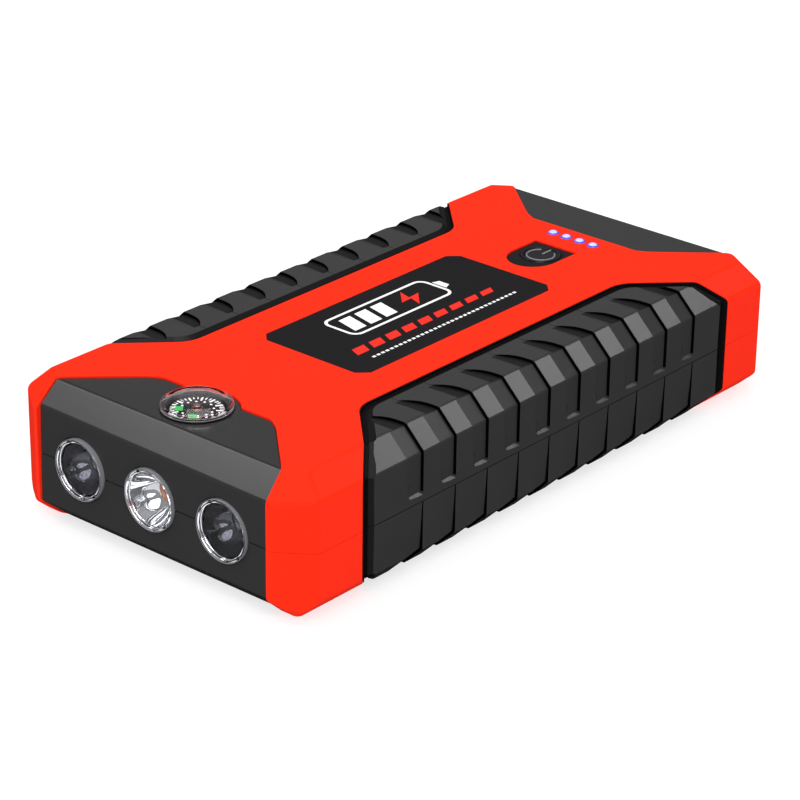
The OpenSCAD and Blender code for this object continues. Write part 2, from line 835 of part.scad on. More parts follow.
upper_cover();
lower_cover();
front_panel_upper();
front_panel_lower();
rear_panel_upper();
rear_panel_lower();
left_grip_upper();
left_grip_lower();
right_grip_upper();
right_grip_lower();
label_plate();
button_bezel();
power_button();
switch_plunger();
tact_switch();
control_board();
indicator_leds();
compass_cup();
compass_pivot();
compass_dial();
compass_magnet();
compass_dome();
torch_lens_left();
torch_lens_middle();
torch_lens_right();
torch_reflector_left();
torch_reflector_middle();
torch_reflector_right();
torch_leds();
torch_board();
battery_cell_1();
battery_cell_2();
battery_cell_3();
battery_cell_4();
cell_bus_bars();
battery_foam_top();
battery_foam_bottom();
main_board();
usb_socket_left();
usb_socket_right();
usb_tongues();
dc_output_jack();
dc_input_jack();
dc_pins();
jump_socket();
jump_contacts();
dust_cover();
dust_cover_pin();
jump_leads();
torch_wires();
case_screws();
board_screws();
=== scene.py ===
"""Looks of the jump starter pack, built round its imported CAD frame.

Shapes are made in millimetres, in the frame's own axes, and put() turns them into pieces in metres.
X runs across the pack, Y from the lights to the sockets, and Z up from the underside.
"""
import json
import math

import bmesh
import bpy
from mathutils import Matrix, Vector
from mathutils.bvhtree import BVHTree


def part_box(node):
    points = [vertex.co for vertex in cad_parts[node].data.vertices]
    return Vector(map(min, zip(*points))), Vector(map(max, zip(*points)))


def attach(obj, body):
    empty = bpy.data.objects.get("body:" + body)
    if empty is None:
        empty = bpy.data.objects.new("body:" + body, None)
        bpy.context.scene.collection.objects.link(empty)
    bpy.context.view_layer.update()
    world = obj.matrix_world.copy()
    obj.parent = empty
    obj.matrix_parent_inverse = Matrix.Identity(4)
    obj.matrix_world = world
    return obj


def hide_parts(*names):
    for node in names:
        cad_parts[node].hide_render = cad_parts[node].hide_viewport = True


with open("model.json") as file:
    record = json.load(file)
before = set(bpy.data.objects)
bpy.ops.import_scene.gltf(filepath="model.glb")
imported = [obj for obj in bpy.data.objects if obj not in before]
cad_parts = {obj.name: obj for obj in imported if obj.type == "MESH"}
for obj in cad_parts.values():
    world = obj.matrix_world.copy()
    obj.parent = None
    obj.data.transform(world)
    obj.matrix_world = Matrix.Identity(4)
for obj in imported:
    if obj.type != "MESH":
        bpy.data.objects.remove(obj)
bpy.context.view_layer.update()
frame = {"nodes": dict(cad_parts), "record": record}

MM = 0.001
FAR = 200.0


def span(node):
    """Lowest and highest corner of a CAD node, in millimetres."""
    lo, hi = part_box(node)
    return lo / MM, hi / MM


def middle(node):
    lo, hi = span(node)
    return (lo + hi) / 2


def radius_of(node):
    lo, hi = span(node)
    return (hi.x - lo.x) / 2


# ------------------------------------------ sizes that follow the CAD frame
HALF_W, HALF_L, HEIGHT = span("upper_cover")[1]
MID_Z = HEIGHT / 2
WALL = 2.0
SIDE_BEVEL, END_BEVEL, BEVEL_H, END_BEVEL_H = 5.2, 5.7, 5.1, 5.7
CORNER_LOW = (3.0, 3.4)
CORNER_X, CORNER_Y = 8.4, 6.0
CORNER_TURN = math.atan2(CORNER_X, CORNER_Y)
CORNER_REACH = HALF_W * math.cos(CORNER_TURN) + (HALF_L - CORNER_Y) * math.sin(CORNER_TURN)
EDGE_ROUND = 0.8
TINY_EDGE = 1.3  # the form's edges that are shorter than this are merged away before it is rounded
BEVEL_TURN = 35.0  # bevelled() rounds the edges that turn by more degrees than this
STRAY = 0.6  # how far off the old surface a bevelled point may lie, as a share of the width
PARTING, DARK_PARTING = 0.015, 0.12

PANEL_SINK = 0.4
PANEL_FACE, PANEL_TOP, PANEL_INNER, PANEL_TURN = 34.1, 33.5, 18.6, 1.4
PANEL_DEPTH, PANEL_LOBE_DEPTH = 19.8, 21.2
PANEL_GAP, PANEL_BLEND = 0.06, 2.2
OFF_CREASE = 0.03  # outlines keep this far off the form's creases, so that no cut runs along one
COMPASS = middle("compass_dial")
COMPASS_R = radius_of("compass_cup")
LOBE_R = COMPASS_R + 1.3

GRIP_INNER, GRIP_DIAG_X, GRIP_DIAG_Y, GRIP_END_Y = 25.2, 38.4, 59.3, 65.3
GRIP_TURN_R = 8.0
GRIP_T = 3.0
RIBS_INNER, RIBS_DIAG_Y, RIBS_END_Y = 26.5, 57.2, 62.9
RIB_PITCH, RIB_WALLS = 10.85, 10
GROOVE_RUN = RIB_PITCH / 2
FIRST_WALL = -45.9
LEDGE_H = 2.25
LEDGE_FOOT = LEDGE_H - 0.55
GROOVE_DEPTH, LOWER_GROOVE_DEPTH = 0.68, 0.7
BEND, BEND_X, BEND_MOST = 0.0066, 37.8, 3.4  # how a rib's wall curves along Y, inward of x = BEND_X
MITRE = 0.924  # about the cosine of half the 45 degrees that the form turns at a crease

LENS_R = radius_of("torch_lens_middle")
LIGHTS = {"left": "dark", "middle": "bright", "right": "dark"}

BUTTON = middle("power_button")
BUTTON_R = radius_of("power_button") - 0.9
BEZEL_LO, BEZEL_HI = span("button_bezel")
LABEL_LO, LABEL_HI = span("label_plate")
INDICATORS = 4
SCREW_HEAD_R = 2.4


# ------------------------------------------ shapes, as meshes in millimetres
def as_mesh(bm):
    bmesh.ops.recalc_face_normals(bm, faces=bm.faces)
    mesh = bpy.data.meshes.new("shape")
    bm.to_mesh(mesh)
    bm.free()
    return mesh


def skin(loops, wrap=False):
    """Mesh through loops of equally many points, capped at both ends unless it wraps round."""
    bm = bmesh.new()
    rows = [[bm.verts.new(p) for p in loop] for loop in loops]
    count = len(rows[0])
    pairs = list(zip(rows, rows[1:])) + ([(rows[-1], rows[0])] if wrap else [])
    for a, b in pairs:
        for i in range(count):
            j = (i + 1) % count
            bm.faces.new((a[i], a[j], b[j], b[i]))
    if not wrap:
        bm.faces.new(rows[0])
        bm.faces.new(rows[-1])
    return as_mesh(bm)


def ring(radius, z, sides=72):
    turns = [2 * math.pi * i / sides for i in range(sides)]
    return [(radius * math.cos(a), radius * math.sin(a), z) for a in turns]


def lathe(profile, sides=72, wrap=False):
    """Solid of revolution about Z through (radius, z) points."""
    return skin([ring(r, z, sides) for r, z in profile], wrap)


def rod(radius, z0, z1, sides=72):
    return lathe([(radius, z0), (radius, z1)], sides)


def prism(outline, z0, z1):
    return skin([[(x, y, z) for x, y in outline] for z in (z0, z1)])


def frame_band(outer, inner, z0, z1):
    """Flat band between two outlines of equally many points."""
    return skin([[(x, y, z) for x, y in line] for line, z in
                 ((outer, z0), (outer, z1), (inner, z1), (inner, z0))], wrap=True)


def brick(lo, hi):
    return prism([(lo[0], lo[1]), (hi[0], lo[1]), (hi[0], hi[1]), (lo[0], hi[1])], lo[2], hi[2])


def tube(points, radius, sides=12):
    """Round bar of the given radius along a list of points."""
    line = [Vector(p) for p in points]
    loops = []
    for i, here in enumerate(line):
        before = line[i - 1] if i else here
        after = line[i + 1] if i + 1 < len(line) else here
        along = (after - before).normalized()
        side = along.cross(Vector((0, 0, 1)))
        side = side.normalized() if side.length > 0.01 else Vector((1, 0, 0))
        up = side.cross(along)
        loops.append([here + radius * (math.cos(a) * side + math.sin(a) * up)
                      for a in (2 * math.pi * k / sides for k in range(sides))])
    return skin(loops)


def arc(cx, cy, r, start, end, steps):
    """Points on an arc, angles in degrees."""
    turns = [math.radians(start + (end - start) * i / steps) for i in range(steps + 1)]
    return [(cx + r * math.cos(a), cy + r * math.sin(a)) for a in turns]


def rounded_box(hx, hy, r, steps=5):
    """Outline of a rectangle of half sizes hx and hy with corners of radius r."""
    corners = ((hx - r, hy - r, 0), (r - hx, hy - r, 90), (r - hx, r - hy, 180), (hx - r, r - hy, 270))
    return [p for cx, cy, a in corners for p in arc(cx, cy, r, a, a + 90, steps)]


def moved(mesh, matrix):
    mesh.transform(matrix)
    if matrix.determinant() < 0:
        mesh.flip_normals()
    return mesh


def shifted(mesh, x=0.0, y=0.0, z=0.0):
    return moved(mesh, Matrix.Translation((x, y, z)))


def facing(mesh, turn):
    """Turns a shape made about +Z so that its +Z points along +Y (turn 1) or -Y (turn -1)."""
    return moved(mesh, Matrix.Rotation(math.radians(-90 * turn), 4, "X"))


def joined(*meshes):
    bm = bmesh.new()
    for mesh in meshes:
        bm.from_mesh(mesh)
    mesh = bpy.data.meshes.new("shape")
    bm.to_mesh(mesh)
    bm.free()
    return mesh


def combine(mesh, cutter, operation):
    """Exact boolean of two meshes."""
    objects = [bpy.data.objects.new("work", m) for m in (mesh, cutter)]
    for obj in objects:
        bpy.context.scene.collection.objects.link(obj)
    mod = objects[0].modifiers.new("combine", "BOOLEAN")
    mod.operation = operation
    mod.solver = "EXACT"
    mod.object = objects[1]
    graph = bpy.context.evaluated_depsgraph_get()
    result = bpy.data.meshes.new_from_object(objects[0].evaluated_get(graph))
    for obj in objects:
        bpy.data.objects.remove(obj)
    return result


def cut(mesh, *cutters):
    for cutter in cutters:
        mesh = combine(mesh, cutter, "DIFFERENCE")
    return mesh


def common(mesh, other):
    return combine(mesh, other, "INTERSECT")


def united(mesh, *others):
    for other in others:
        mesh = combine(mesh, other, "UNION")
    return mesh


def bevelled(mesh, width, segments=2):
    """Rounds the sharp edges, and takes back any point that the bevel throws out."""
    bm = bmesh.new()
    bm.from_mesh(mesh)
    bmesh.ops.remove_doubles(bm, verts=bm.verts, dist=0.002)
    bmesh.ops.dissolve_limit(bm, angle_limit=math.radians(0.5), verts=bm.verts, edges=bm.edges)
    surface = BVHTree.FromBMesh(bm)
    corners = [vert.co.copy() for vert in bm.verts]
    sharp = [e for e in bm.edges if e.is_manifold and e.calc_face_angle() > math.radians(BEVEL_TURN)]
    bmesh.ops.bevel(bm, geom=sharp, offset=width, offset_type="OFFSET", segments=segments, profile=0.5,
                    affect="EDGES", clamp_overlap=False)
    for vert in bm.verts:
        if surface.find_nearest(vert.co)[3] > STRAY * width:
            vert.co = min(corners, key=lambda corner: (corner - vert.co).length)
    return as_mesh(bm)


# ------------------------------------------ materials
def tree_of(name):
    made = bpy.data.materials.new(name)
    made.use_nodes = True
    return made, made.node_tree, made.node_tree.nodes["Principled BSDF"]


def noise(tree, size, detail=2.0):
    """Noise whose features are about size millimetres across."""
    place = tree.nodes.new("ShaderNodeTexCoord")
    made = tree.nodes.new("ShaderNodeTexNoise")
    made.inputs["Scale"].default_value = 1 / (size * MM)
    made.inputs["Detail"].default_value = detail
    tree.links.new(place.outputs["Object"], made.inputs["Vector"])
    return made.outputs["Fac"]


def spread(tree, value, low, high):
    """Maps the middle of a noise's range to low..high."""
    made = tree.nodes.new("ShaderNodeMapRange")
    for socket, number in (("From Min", 0.3), ("From Max", 0.7), ("To Min", low), ("To Max", high)):
        made.inputs[socket].default_value = number
    tree.links.new(value, made.inputs["Value"])
    return made.outputs["Result"]


def mottle(tree, shader, colour, share, size):
    """Base colour that wanders by a share of itself."""
    mix = tree.nodes.new("ShaderNodeMix")
    mix.data_type = "RGBA"
    mix.inputs["A"].default_value = [c * (1 - share) for c in colour] + [1]
    mix.inputs["B"].default_value = [min(1, c * (1 + share)) for c in colour] + [1]
    tree.links.new(noise(tree, size, 3), mix.inputs["Factor"])
    tree.links.new(mix.outputs["Result"], shader.inputs["Base Color"])


def grain(tree, shader, size, height):
    """Fine surface grain, height in micrometres."""
    bump = tree.nodes.new("ShaderNodeBump")
    bump.inputs["Distance"].default_value = height * 1e-6
    bump.inputs["Strength"].default_value = 1
    tree.links.new(noise(tree, size), bump.inputs["Height"])
    tree.links.new(bump.outputs["Normal"], shader.inputs["Normal"])


def moulded(name, colour, rough, specular=0.5, share=0.05, texture=0.3, height=2.0):
    """Moulded plastic or rubber: slight colour wander, patchy gloss and a fine texture."""
    made, tree, shader = tree_of(name)
    mottle(tree, shader, colour, share, 14)
    tree.links.new(spread(tree, noise(tree, 1.2), rough - 0.012, rough + 0.012), shader.inputs["Roughness"])
    shader.inputs["Specular IOR Level"].default_value = specular
    grain(tree, shader, texture, height)
    return made


def metal(name, colour, rough, share=0.06, texture=0.2, height=0.6, edge=1.0):
    """Bare or plated metal. edge is how bright it gets at a glancing angle."""
    made, tree, shader = tree_of(name)
    mottle(tree, shader, colour, share, 5)
    shader.inputs["Metallic"].default_value = 1
    shader.inputs["Specular Tint"].default_value = (edge, edge, edge, 1)
    tree.links.new(spread(tree, noise(tree, 0.8), rough * 0.8, rough * 1.2), shader.inputs["Roughness"])
    grain(tree, shader, texture, height)
    return made


def clear(name, tint, rough, specular):
    """Clear plastic. specular tints its reflections, and 1 leaves them whole."""
    made, tree, shader = tree_of(name)
    shader.inputs["Base Color"].default_value = (*tint, 1)
    shader.inputs["Transmission Weight"].default_value = 1
    shader.inputs["IOR"].default_value = 1.49
    shader.inputs["Specular Tint"].default_value = (specular, specular, specular, 1)
    tree.links.new(spread(tree, noise(tree, 3), rough * 0.7, rough * 1.5), shader.inputs["Roughness"])
    return made


def glowing(name, colour, strength):
    made, tree, shader = tree_of(name)
    mottle(tree, shader, colour, 0.04, 0.5)
    shader.inputs["Emission Color"].default_value = (*colour, 1)
    shader.inputs["Emission Strength"].default_value = strength
    shader.inputs["Roughness"].default_value = 0.2
    return made


FINISHES = (  # maker, name, then what the maker takes
    (moulded, "red_case", (0.9, 0.023, 0.0055), 0.4, 0.03, 0.02, 0.4, 0.5),
    (moulded, "dark_panel", (0.027, 0.027, 0.0275), 0.24, 0.2, 0.05, 0.35, 0.5),
    (moulded, "grip_rubber", (0.031, 0.0303, 0.0315), 0.22, 0.17, 0.08, 0.4, 0.8),
    # Painted shade: the next three are darker copies of the grip rubber, for the rib walls, the groove
    # hollows and border slope, and the rim round the grip.
    (moulded, "grip_recess", (0.0006, 0.0006, 0.0008), 0.7, 0.02, 0.10, 0.3, 1.0),
    (moulded, "grip_pocket", (0.010, 0.0098, 0.0105), 0.3, 0.1, 0.08, 0.4, 0.8),
    (moulded, "grip_rim", (0.0035, 0.0035, 0.004), 0.5, 0.06, 0.10, 0.3, 1.0),
    (moulded, "label", (0.0135, 0.0125, 0.0135), 0.5, 0.035, 0.03, 0.25, 0.6),
    (moulded, "print_white", (0.85, 0.85, 0.85), 0.5, 0.2, 0.02, 0.2, 0.6),
    (moulded, "print_red", (0.8, 0.02, 0.01), 0.5, 0.2, 0.03, 0.2, 0.6),
    (moulded, "black_trim", (0.0075, 0.0078, 0.009), 0.35, 0.1, 0.06, 0.3, 1.5),
    (moulded, "button_cap", (0.009, 0.0095, 0.012), 0.26, 0.2, 0.06, 0.3, 1.0),
    (moulded, "button_sign", (0.19, 0.19, 0.2), 0.4, 0.5, 0.04, 0.3, 1.0),
    (moulded, "flap_rubber", (0.016, 0.016, 0.018), 0.6, 0.25, 0.12, 0.3, 5.0),
    (moulded, "white_plastic", (0.8, 0.8, 0.77), 0.35, 0.5, 0.03),
    (moulded, "blue_plastic", (0.02, 0.06, 0.3), 0.35, 0.5, 0.05),
    (moulded, "compass_card", (0.003, 0.003, 0.004), 0.5, 0.1, 0.05),
    (moulded, "compass_green", (0.01, 0.35, 0.06), 0.4, 0.5, 0.08, 0.2, 1.0),
    (metal, "compass_hub", (0.30, 0.16, 0.14), 0.25),
    (metal, "magnet", (0.4, 0.4, 0.42), 0.3),
    (metal, "brass", (0.85, 0.62, 0.26), 0.22),
    (metal, "plated_steel", (0.62, 0.63, 0.65), 0.36, 0.04, 0.6, 0.2),
    (metal, "chrome", (0.92, 0.93, 0.95), 0.05, 0.01, 2.0, 0.5),
    (metal, "silvered", (0.55, 0.55, 0.57), 0.05, 0.2, 0.8, 0.5, 0.6),
    (metal, "smoked_chrome", (0.06, 0.06, 0.074), 0.05, 0.3, 1.5, 0.6, 0.6),
    (moulded, "led_amber", (0.8, 0.22, 0.06), 0.35, 0.6, 0.08, 0.1, 3.0),
    (moulded, "circuit_board", (0.01, 0.10, 0.035), 0.3, 0.5, 0.25, 0.6, 3.0),
    (metal, "cell_foil", (0.62, 0.64, 0.67), 0.35, 0.08, 1.5, 12.0),
    (moulded, "foam", (0.07, 0.07, 0.075), 0.95, 0.1, 0.3, 0.6, 60.0),
    (moulded, "wire_red", (0.4, 0.02, 0.02), 0.45, 0.4, 0.05),
    (moulded, "led_phosphor", (0.9, 0.7, 0.12), 0.35, 0.6, 0.08, 0.1, 3.0),
    (moulded, "lens_rim", (0.2, 0.2, 0.22), 0.25, 0.6, 0.05, 0.3, 0.5),
    (clear, "lamp_resin", (0.85, 0.87, 0.96), 0.03, 1.0),
    (clear, "clear_plastic", (0.98, 0.99, 1.0), 0.02, 0.05),
    (clear, "dome_plastic", (0.97, 0.93, 0.95), 0.02, 0.4),
    (glowing, "indicator", (0.36, 0.46, 0.95), 0.45),
    (glowing, "indicator_edge", (0.09, 0.06, 0.5), 0.4),
)
MATERIALS = {name: maker(name, *values) for maker, name, *values in FINISHES}


# ------------------------------------------ pieces
def put(name, mesh, material, body="case", nodes=(), sharp=32.0, weighted=True):
    """Makes a piece of a millimetre mesh. material is one name, or one for each material index."""
    mesh.name = name
    mesh.transform(Matrix.Scale(MM, 4))
    obj = bpy.data.objects.new(name, mesh)
    bpy.context.scene.collection.objects.link(obj)
    parts = [face.material_index for face in mesh.polygons]
    mesh.materials.clear()
    for one in [material] if isinstance(material, str) else material:
        mesh.materials.append(MATERIALS[one])
    if not isinstance(material, str):
        mesh.polygons.foreach_set("material_index", parts)
    mesh.polygons.foreach_set("use_smooth", [True] * len(mesh.polygons))
    mesh.set_sharp_from_angle(angle=math.radians(sharp))
    if weighted:
        mod = obj.modifiers.new("normals", "WEIGHTED_NORMAL")
        mod.keep_sharp = True
        mod.mode = "FACE_AREA"
    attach(obj, body)
    if nodes:
        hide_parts(*nodes)
    return obj


# ------------------------------------------ camera, lights and floor
CAMERA_TURNS = (40.595, 24.894, 0.716)  # azimuth, elevation and roll, in degrees
CAMERA_PLACE = (0.41576, -0.48828, 0.30877)  # metres
CAMERA_LENS, CAMERA_SENSOR = 136.66, 36
ROOM_LIGHT, BACKDROP = 0.42, 1.1
FLOOR_GREY, FLOOR_GLOW, FLOOR_HALF = 0.3, 0.72, 4000
SOFTBOXES = (  # name, direction from the pack, distance and size in metres, radiance
    ("key", (0.45, -0.62, 0.64), 1.7, 1.2, 4.4),
    ("overhead", (-0.1, 0.1, 1.0), 1.6, 0.9, 3.4),
    ("card_top", (-0.585, 0.687, 0.434), 1.7, 0.8, 0.27),
    ("card_front", (-0.585, -0.434, 0.687), 1.7, 0.7, 1.9),
    ("glint_side", (0.39, 0.69, 0.60), 1.6, 0.42, 9.0),
    ("glint_front", (-0.59, -0.35, 0.72), 1.6, 0.42, 9.0),
)


def add_camera():
    azimuth, elevation, roll = (math.radians(a) for a in CAMERA_TURNS)
    back = Vector((math.sin(azimuth) * math.cos(elevation), -math.cos(azimuth) * math.cos(elevation),
                   math.sin(elevation)))
    right = (-back).cross(Vector((0, 0, 1))).normalized()
    up = right.cross(-back)
    right, up = (right * math.cos(roll) + up * math.sin(roll), up * math.cos(roll) - right * math.sin(roll))
    data = bpy.data.cameras.new("camera")
    data.lens = CAMERA_LENS
    data.sensor_width = CAMERA_SENSOR
    data.clip_start, data.clip_end = 0.01, 50
    obj = bpy.data.objects.new("camera", data)
    bpy.context.scene.collection.objects.link(obj)
    axes = Matrix((right, up, back)).transposed().to_4x4()
    obj.matrix_world = Matrix.Translation(CAMERA_PLACE) @ axes
    bpy.context.scene.camera = obj


def add_softbox(name, direction, distance, size, radiance):
    """Square area light of the given radiance, aimed at the pack, which the camera doesn't see."""
    data = bpy.data.lights.new(name, "AREA")
    data.shape = "SQUARE"
    data.size = size
    data.energy = radiance * math.pi * size * size
    obj = bpy.data.objects.new(name, data)
    bpy.context.scene.collection.objects.link(obj)
    away = Vector(direction).normalized()
    obj.location = Vector((0, 0, MID_Z * MM)) + away * distance
    obj.rotation_mode = "QUATERNION"
    obj.rotation_quaternion = away.to_track_quat("Z", "Y")
    obj.visible_camera = False


def add_world():
    """Even light from all sides, with a white backdrop that only the camera sees."""
    world = bpy.data.worlds.new("studio")
    world.use_nodes = True
    tree = world.node_tree
    sky = tree.nodes["Background"]
    sky.inputs["Color"].default_value = (1, 1, 1, 1)
    sky.inputs["Strength"].default_value = ROOM_LIGHT
    white = tree.nodes.new("ShaderNodeBackground")
    white.inputs["Strength"].default_value = BACKDROP
    path = tree.nodes.new("ShaderNodeLightPath")
    mix = tree.nodes.new("ShaderNodeMixShader")
    tree.links.new(path.outputs["Is Camera Ray"], mix.inputs["Fac"])
    tree.links.new(sky.outputs["Background"], mix.inputs[1])
    tree.links.new(white.outputs["Background"], mix.inputs[2])
    tree.links.new(mix.outputs["Shader"], tree.nodes["World Output"].inputs["Surface"])
    world.cycles_visibility.glossy = False
    bpy.context.scene.world = world


def add_floor():
    made, tree, shader = tree_of("floor")
    mottle(tree, shader, [FLOOR_GREY] * 3, 0.005, 60)
    shader.inputs["Emission Color"].default_value = (1, 1, 1, 1)
    shader.inputs["Emission Strength"].default_value = FLOOR_GLOW
    shader.inputs["Roughness"].default_value = 0.9
    shader.inputs["Specular IOR Level"].default_value = 0.1
    mesh = brick((-FLOOR_HALF, -FLOOR_HALF, -20), (FLOOR_HALF, FLOOR_HALF, -0.02))
    mesh.transform(Matrix.Scale(MM, 4))
    mesh.materials.append(made)
    floor = bpy.data.objects.new("floor", mesh)
    bpy.context.scene.collection.objects.link(floor)
    floor.visible_glossy = False


bpy.context.scene.view_settings.view_transform = "Standard"
add_camera()
add_world()
add_floor()
for softbox in SOFTBOXES:
    add_softbox(*softbox)


# ------------------------------------------ the case form
def case_form(sink, edge_round=0.0):
    """The convex outer form of the case with every face moved in by sink."""
    bm = bmesh.new()
    bmesh.ops.create_cube(bm, size=2 * FAR)
    planes = [(Vector((0, 0, s)), MID_Z) for s in (1, -1)]
    turned = [(math.cos(s * CORNER_TURN) * k, math.sin(s * CORNER_TURN)) for s in (1, -1) for k in (1, -1)]
    side = (SIDE_BEVEL, BEVEL_H)
    walls = [((s, 0), HALF_W, side, side) for s in (1, -1)]
    walls += [((0, s), HALF_L, (END_BEVEL, END_BEVEL_H), (END_BEVEL, BEVEL_H)) for s in (1, -1)]
    walls += [(d, CORNER_REACH, side, CORNER_LOW) for d in turned]
    for (x, y), reach, upper, lower in walls:
        planes.append((Vector((x, y, 0)), reach))
        for s, (run, rise) in ((1, upper), (-1, lower)):
            slope = Vector((x * rise, y * rise, s * run)).normalized()
            planes.append((slope, slope.dot(Vector((x * reach, y * reach, s * (MID_Z - rise))))))
    for normal, reach in planes:
        found = bmesh.ops.bisect_plane(bm, geom=bm.verts[:] + bm.edges[:] + bm.faces[:], dist=1e-5,
                                       plane_co=normal * (reach - sink), plane_no=normal, clear_outer=True)
        rim = [e for e in found["geom_cut"] if isinstance(e, bmesh.types.BMEdge)]
        if rim:
            bmesh.ops.contextual_create(bm, geom=rim)
    bmesh.ops.dissolve_limit(bm, angle_limit=math.radians(0.5), verts=bm.verts, edges=bm.edges)
    bmesh.ops.remove_doubles(bm, verts=bm.verts, dist=TINY_EDGE)
    if edge_round:
        bmesh.ops.bevel(bm, geom=bm.edges[:], offset=edge_round, offset_type="OFFSET", segments=4,
                        profile=0.5, affect="EDGES", clamp_overlap=True)
    return shifted(as_mesh(bm), z=MID_Z)


def half_space(top, gap=PARTING):
    lo, hi = (MID_Z + gap, FAR) if top else (-FAR, MID_Z - gap)
    return brick((-FAR, -FAR, lo), (FAR, FAR, hi))


def blend_point(knee, before, after, k, reach):
    """Point on the curve that rounds a knee between two straight runs, starting and ending reach away.

    k goes from 0 at its start to 1 at its end.
    """
    at, back, on = Vector(knee), Vector(before), Vector(after)
    a = at + (back - at).normalized() * reach
    b = at + (on - at).normalized() * reach
    spot = a * (1 - k) ** 2 + at * 2 * k * (1 - k) + b * k ** 2
    return spot.x, spot.y


def panel_prism(grow, end, lobe=False):
    """Prism over the front (end -1) or rear (end 1) panel's plan, grown on every side."""
    inner = HALF_L - (PANEL_LOBE_DEPTH if lobe else PANEL_DEPTH)
    knee = (PANEL_INNER + grow * 0.7, inner + PANEL_TURN - grow * 0.7)
    side = (PANEL_TOP + grow, HALF_L - END_BEVEL + OFF_CREASE)
    middle_knee = (PANEL_INNER - 2 * PANEL_TURN, inner)
    turn = [blend_point(knee, side, middle_knee, k / 6, PANEL_BLEND) for k in range(7)]
    right = [(PANEL_FACE + grow, HALF_L + 1), (PANEL_FACE + grow, HALF_L + OFF_CREASE), side] + turn
    right.append((middle_knee[0] + grow * 0.3, inner - grow))
    plan = right + [(-x, y) for x, y in reversed(right)]
    made = prism([(x, end * y) for x, y in plan], -FAR, FAR)
    if lobe:
        made = united(made, shifted(rod(LOBE_R + grow, MID_Z, FAR), y=COMPASS.y))
    return made


def grip_plan(inner, diag_y, end_y):
    """Rear half of the plan outline of the right grip or of a part of it."""
    turn_y = diag_y - GRIP_DIAG_X + inner - GRIP_TURN_R * math.tan(math.radians(22.5))
    turn = arc(inner + GRIP_TURN_R, turn_y, GRIP_TURN_R, 180, 135, 8)
    return turn + [(GRIP_DIAG_X, diag_y), (HALF_W, end_y)]


def grip_prism(grow):
    half = grip_plan(GRIP_INNER - grow, GRIP_DIAG_Y + grow * 1.37, GRIP_END_Y + grow * 1.2)
    half.append((FAR, GRIP_END_Y + grow * 1.2))
    return prism(half + [(x, -y) for x, y in reversed(half)], -FAR, FAR)


def mirrored(mesh):
    return moved(mesh.copy(), Matrix.Scale(-1, 4, (1, 0, 0)))


def shield_prism(grow, z0, z1):
    """The button's trim: a flat rear edge, straight sides and a rounded front."""
    half = (BEZEL_HI.x - BEZEL_LO.x) / 2 + grow
    front, rear, turn = BEZEL_LO.y - grow, BEZEL_HI.y + grow, 7.0
    curve = [(half * math.cos(a), front + turn + turn * math.sin(a))
             for a in (math.pi * (1 + i / 20) for i in range(21))]
    return prism([(half, rear), (-half, rear)] + curve, z0, z1)


def label_prism(grow, z0, z1):
    """The label: a rectangle with cut corners."""
    hx, hy, c = LABEL_HI.x + grow, LABEL_HI.y + grow, 2.5
    rear = [(hx, hy - c), (hx - c, hy), (c - hx, hy), (-hx, hy - c)]
    return prism(rear + [(x, -y) for x, y in reversed(rear)], z0, z1)


def indicator_places():
    lo, hi = span("indicator_leds")
    radius = (hi.y - lo.y) / 2
    pitch = (hi.x - lo.x - 2 * radius) / (INDICATORS - 1)
    return [(lo.x + radius + i * pitch, (lo.y + hi.y) / 2) for i in range(INDICATORS)]


def screw_places():
    lo, hi = span("case_screws")
    return [(x, y) for x in (lo.x + SCREW_HEAD_R, hi.x - SCREW_HEAD_R)
            for y in (lo.y + SCREW_HEAD_R, hi.y - SCREW_HEAD_R)]


def build_covers():
    form = case_form(0, EDGE_ROUND)
    hollow = case_form(WALL)
    grip = grip_prism(0.05)
    shared = cut(form, hollow, grip, mirrored(grip), panel_prism(PANEL_GAP, 1))
    upper = cut(common(shared, half_space(True)), panel_prism(PANEL_GAP, -1, lobe=True),
                label_prism(0.04, LABEL_LO.z, FAR), shield_prism(0.03, BEZEL_LO.z, FAR))
    upper = cut(upper, shifted(rod(BUTTON_R + 0.1, MID_Z + 2, HEIGHT + 5), y=BUTTON.y))
    for x, y in indicator_places():
        upper = cut(upper, shifted(rod(1.55, MID_Z + 2, HEIGHT + 5, 40), x=x, y=y))
    put("upper_shell", bevelled(upper, 0.12), "red_case", nodes=["upper_cover"])
    lower = cut(common(shared, half_space(False)), panel_prism(PANEL_GAP, -1))
    for x, y in screw_places():
        post = lathe([(3.6, 1.0), (3.2, MID_Z - 0.3)], 40)
        well = lathe([(2.6, -1), (2.6, 3.0), (1.4, 3.05), (1.4, FAR)], 40)
        lower = cut(united(lower, shifted(post, x=x, y=y)), shifted(well, x=x, y=y))
    put("lower_shell", bevelled(lower, 0.12), "red_case", nodes=["lower_cover"])


def build_panels():
    shell = cut(case_form(PANEL_SINK, EDGE_ROUND * 0.6), case_form(PANEL_SINK + WALL))
    front = common(shell, panel_prism(-PANEL_GAP, -1, lobe=True))
    for side in LIGHTS:
        centre = middle("torch_lens_" + side)
        bore = facing(rod(LENS_R + 0.08, -FAR, FAR), -1)
        front = cut(front, shifted(bore, x=centre.x, z=centre.z))
    upper = cut(common(front, half_space(True, DARK_PARTING)),
                shifted(rod(COMPASS_R - 0.5, MID_Z, FAR), y=COMPASS.y))
    put("front_panel_top", bevelled(upper, 0.1), "dark_panel", nodes=["front_panel_upper"])
    lower = common(common(front, half_space(False, DARK_PARTING)), panel_prism(-PANEL_GAP, -1))
    put("front_panel_bottom", bevelled(lower, 0.1), "dark_panel", nodes=["front_panel_lower"])


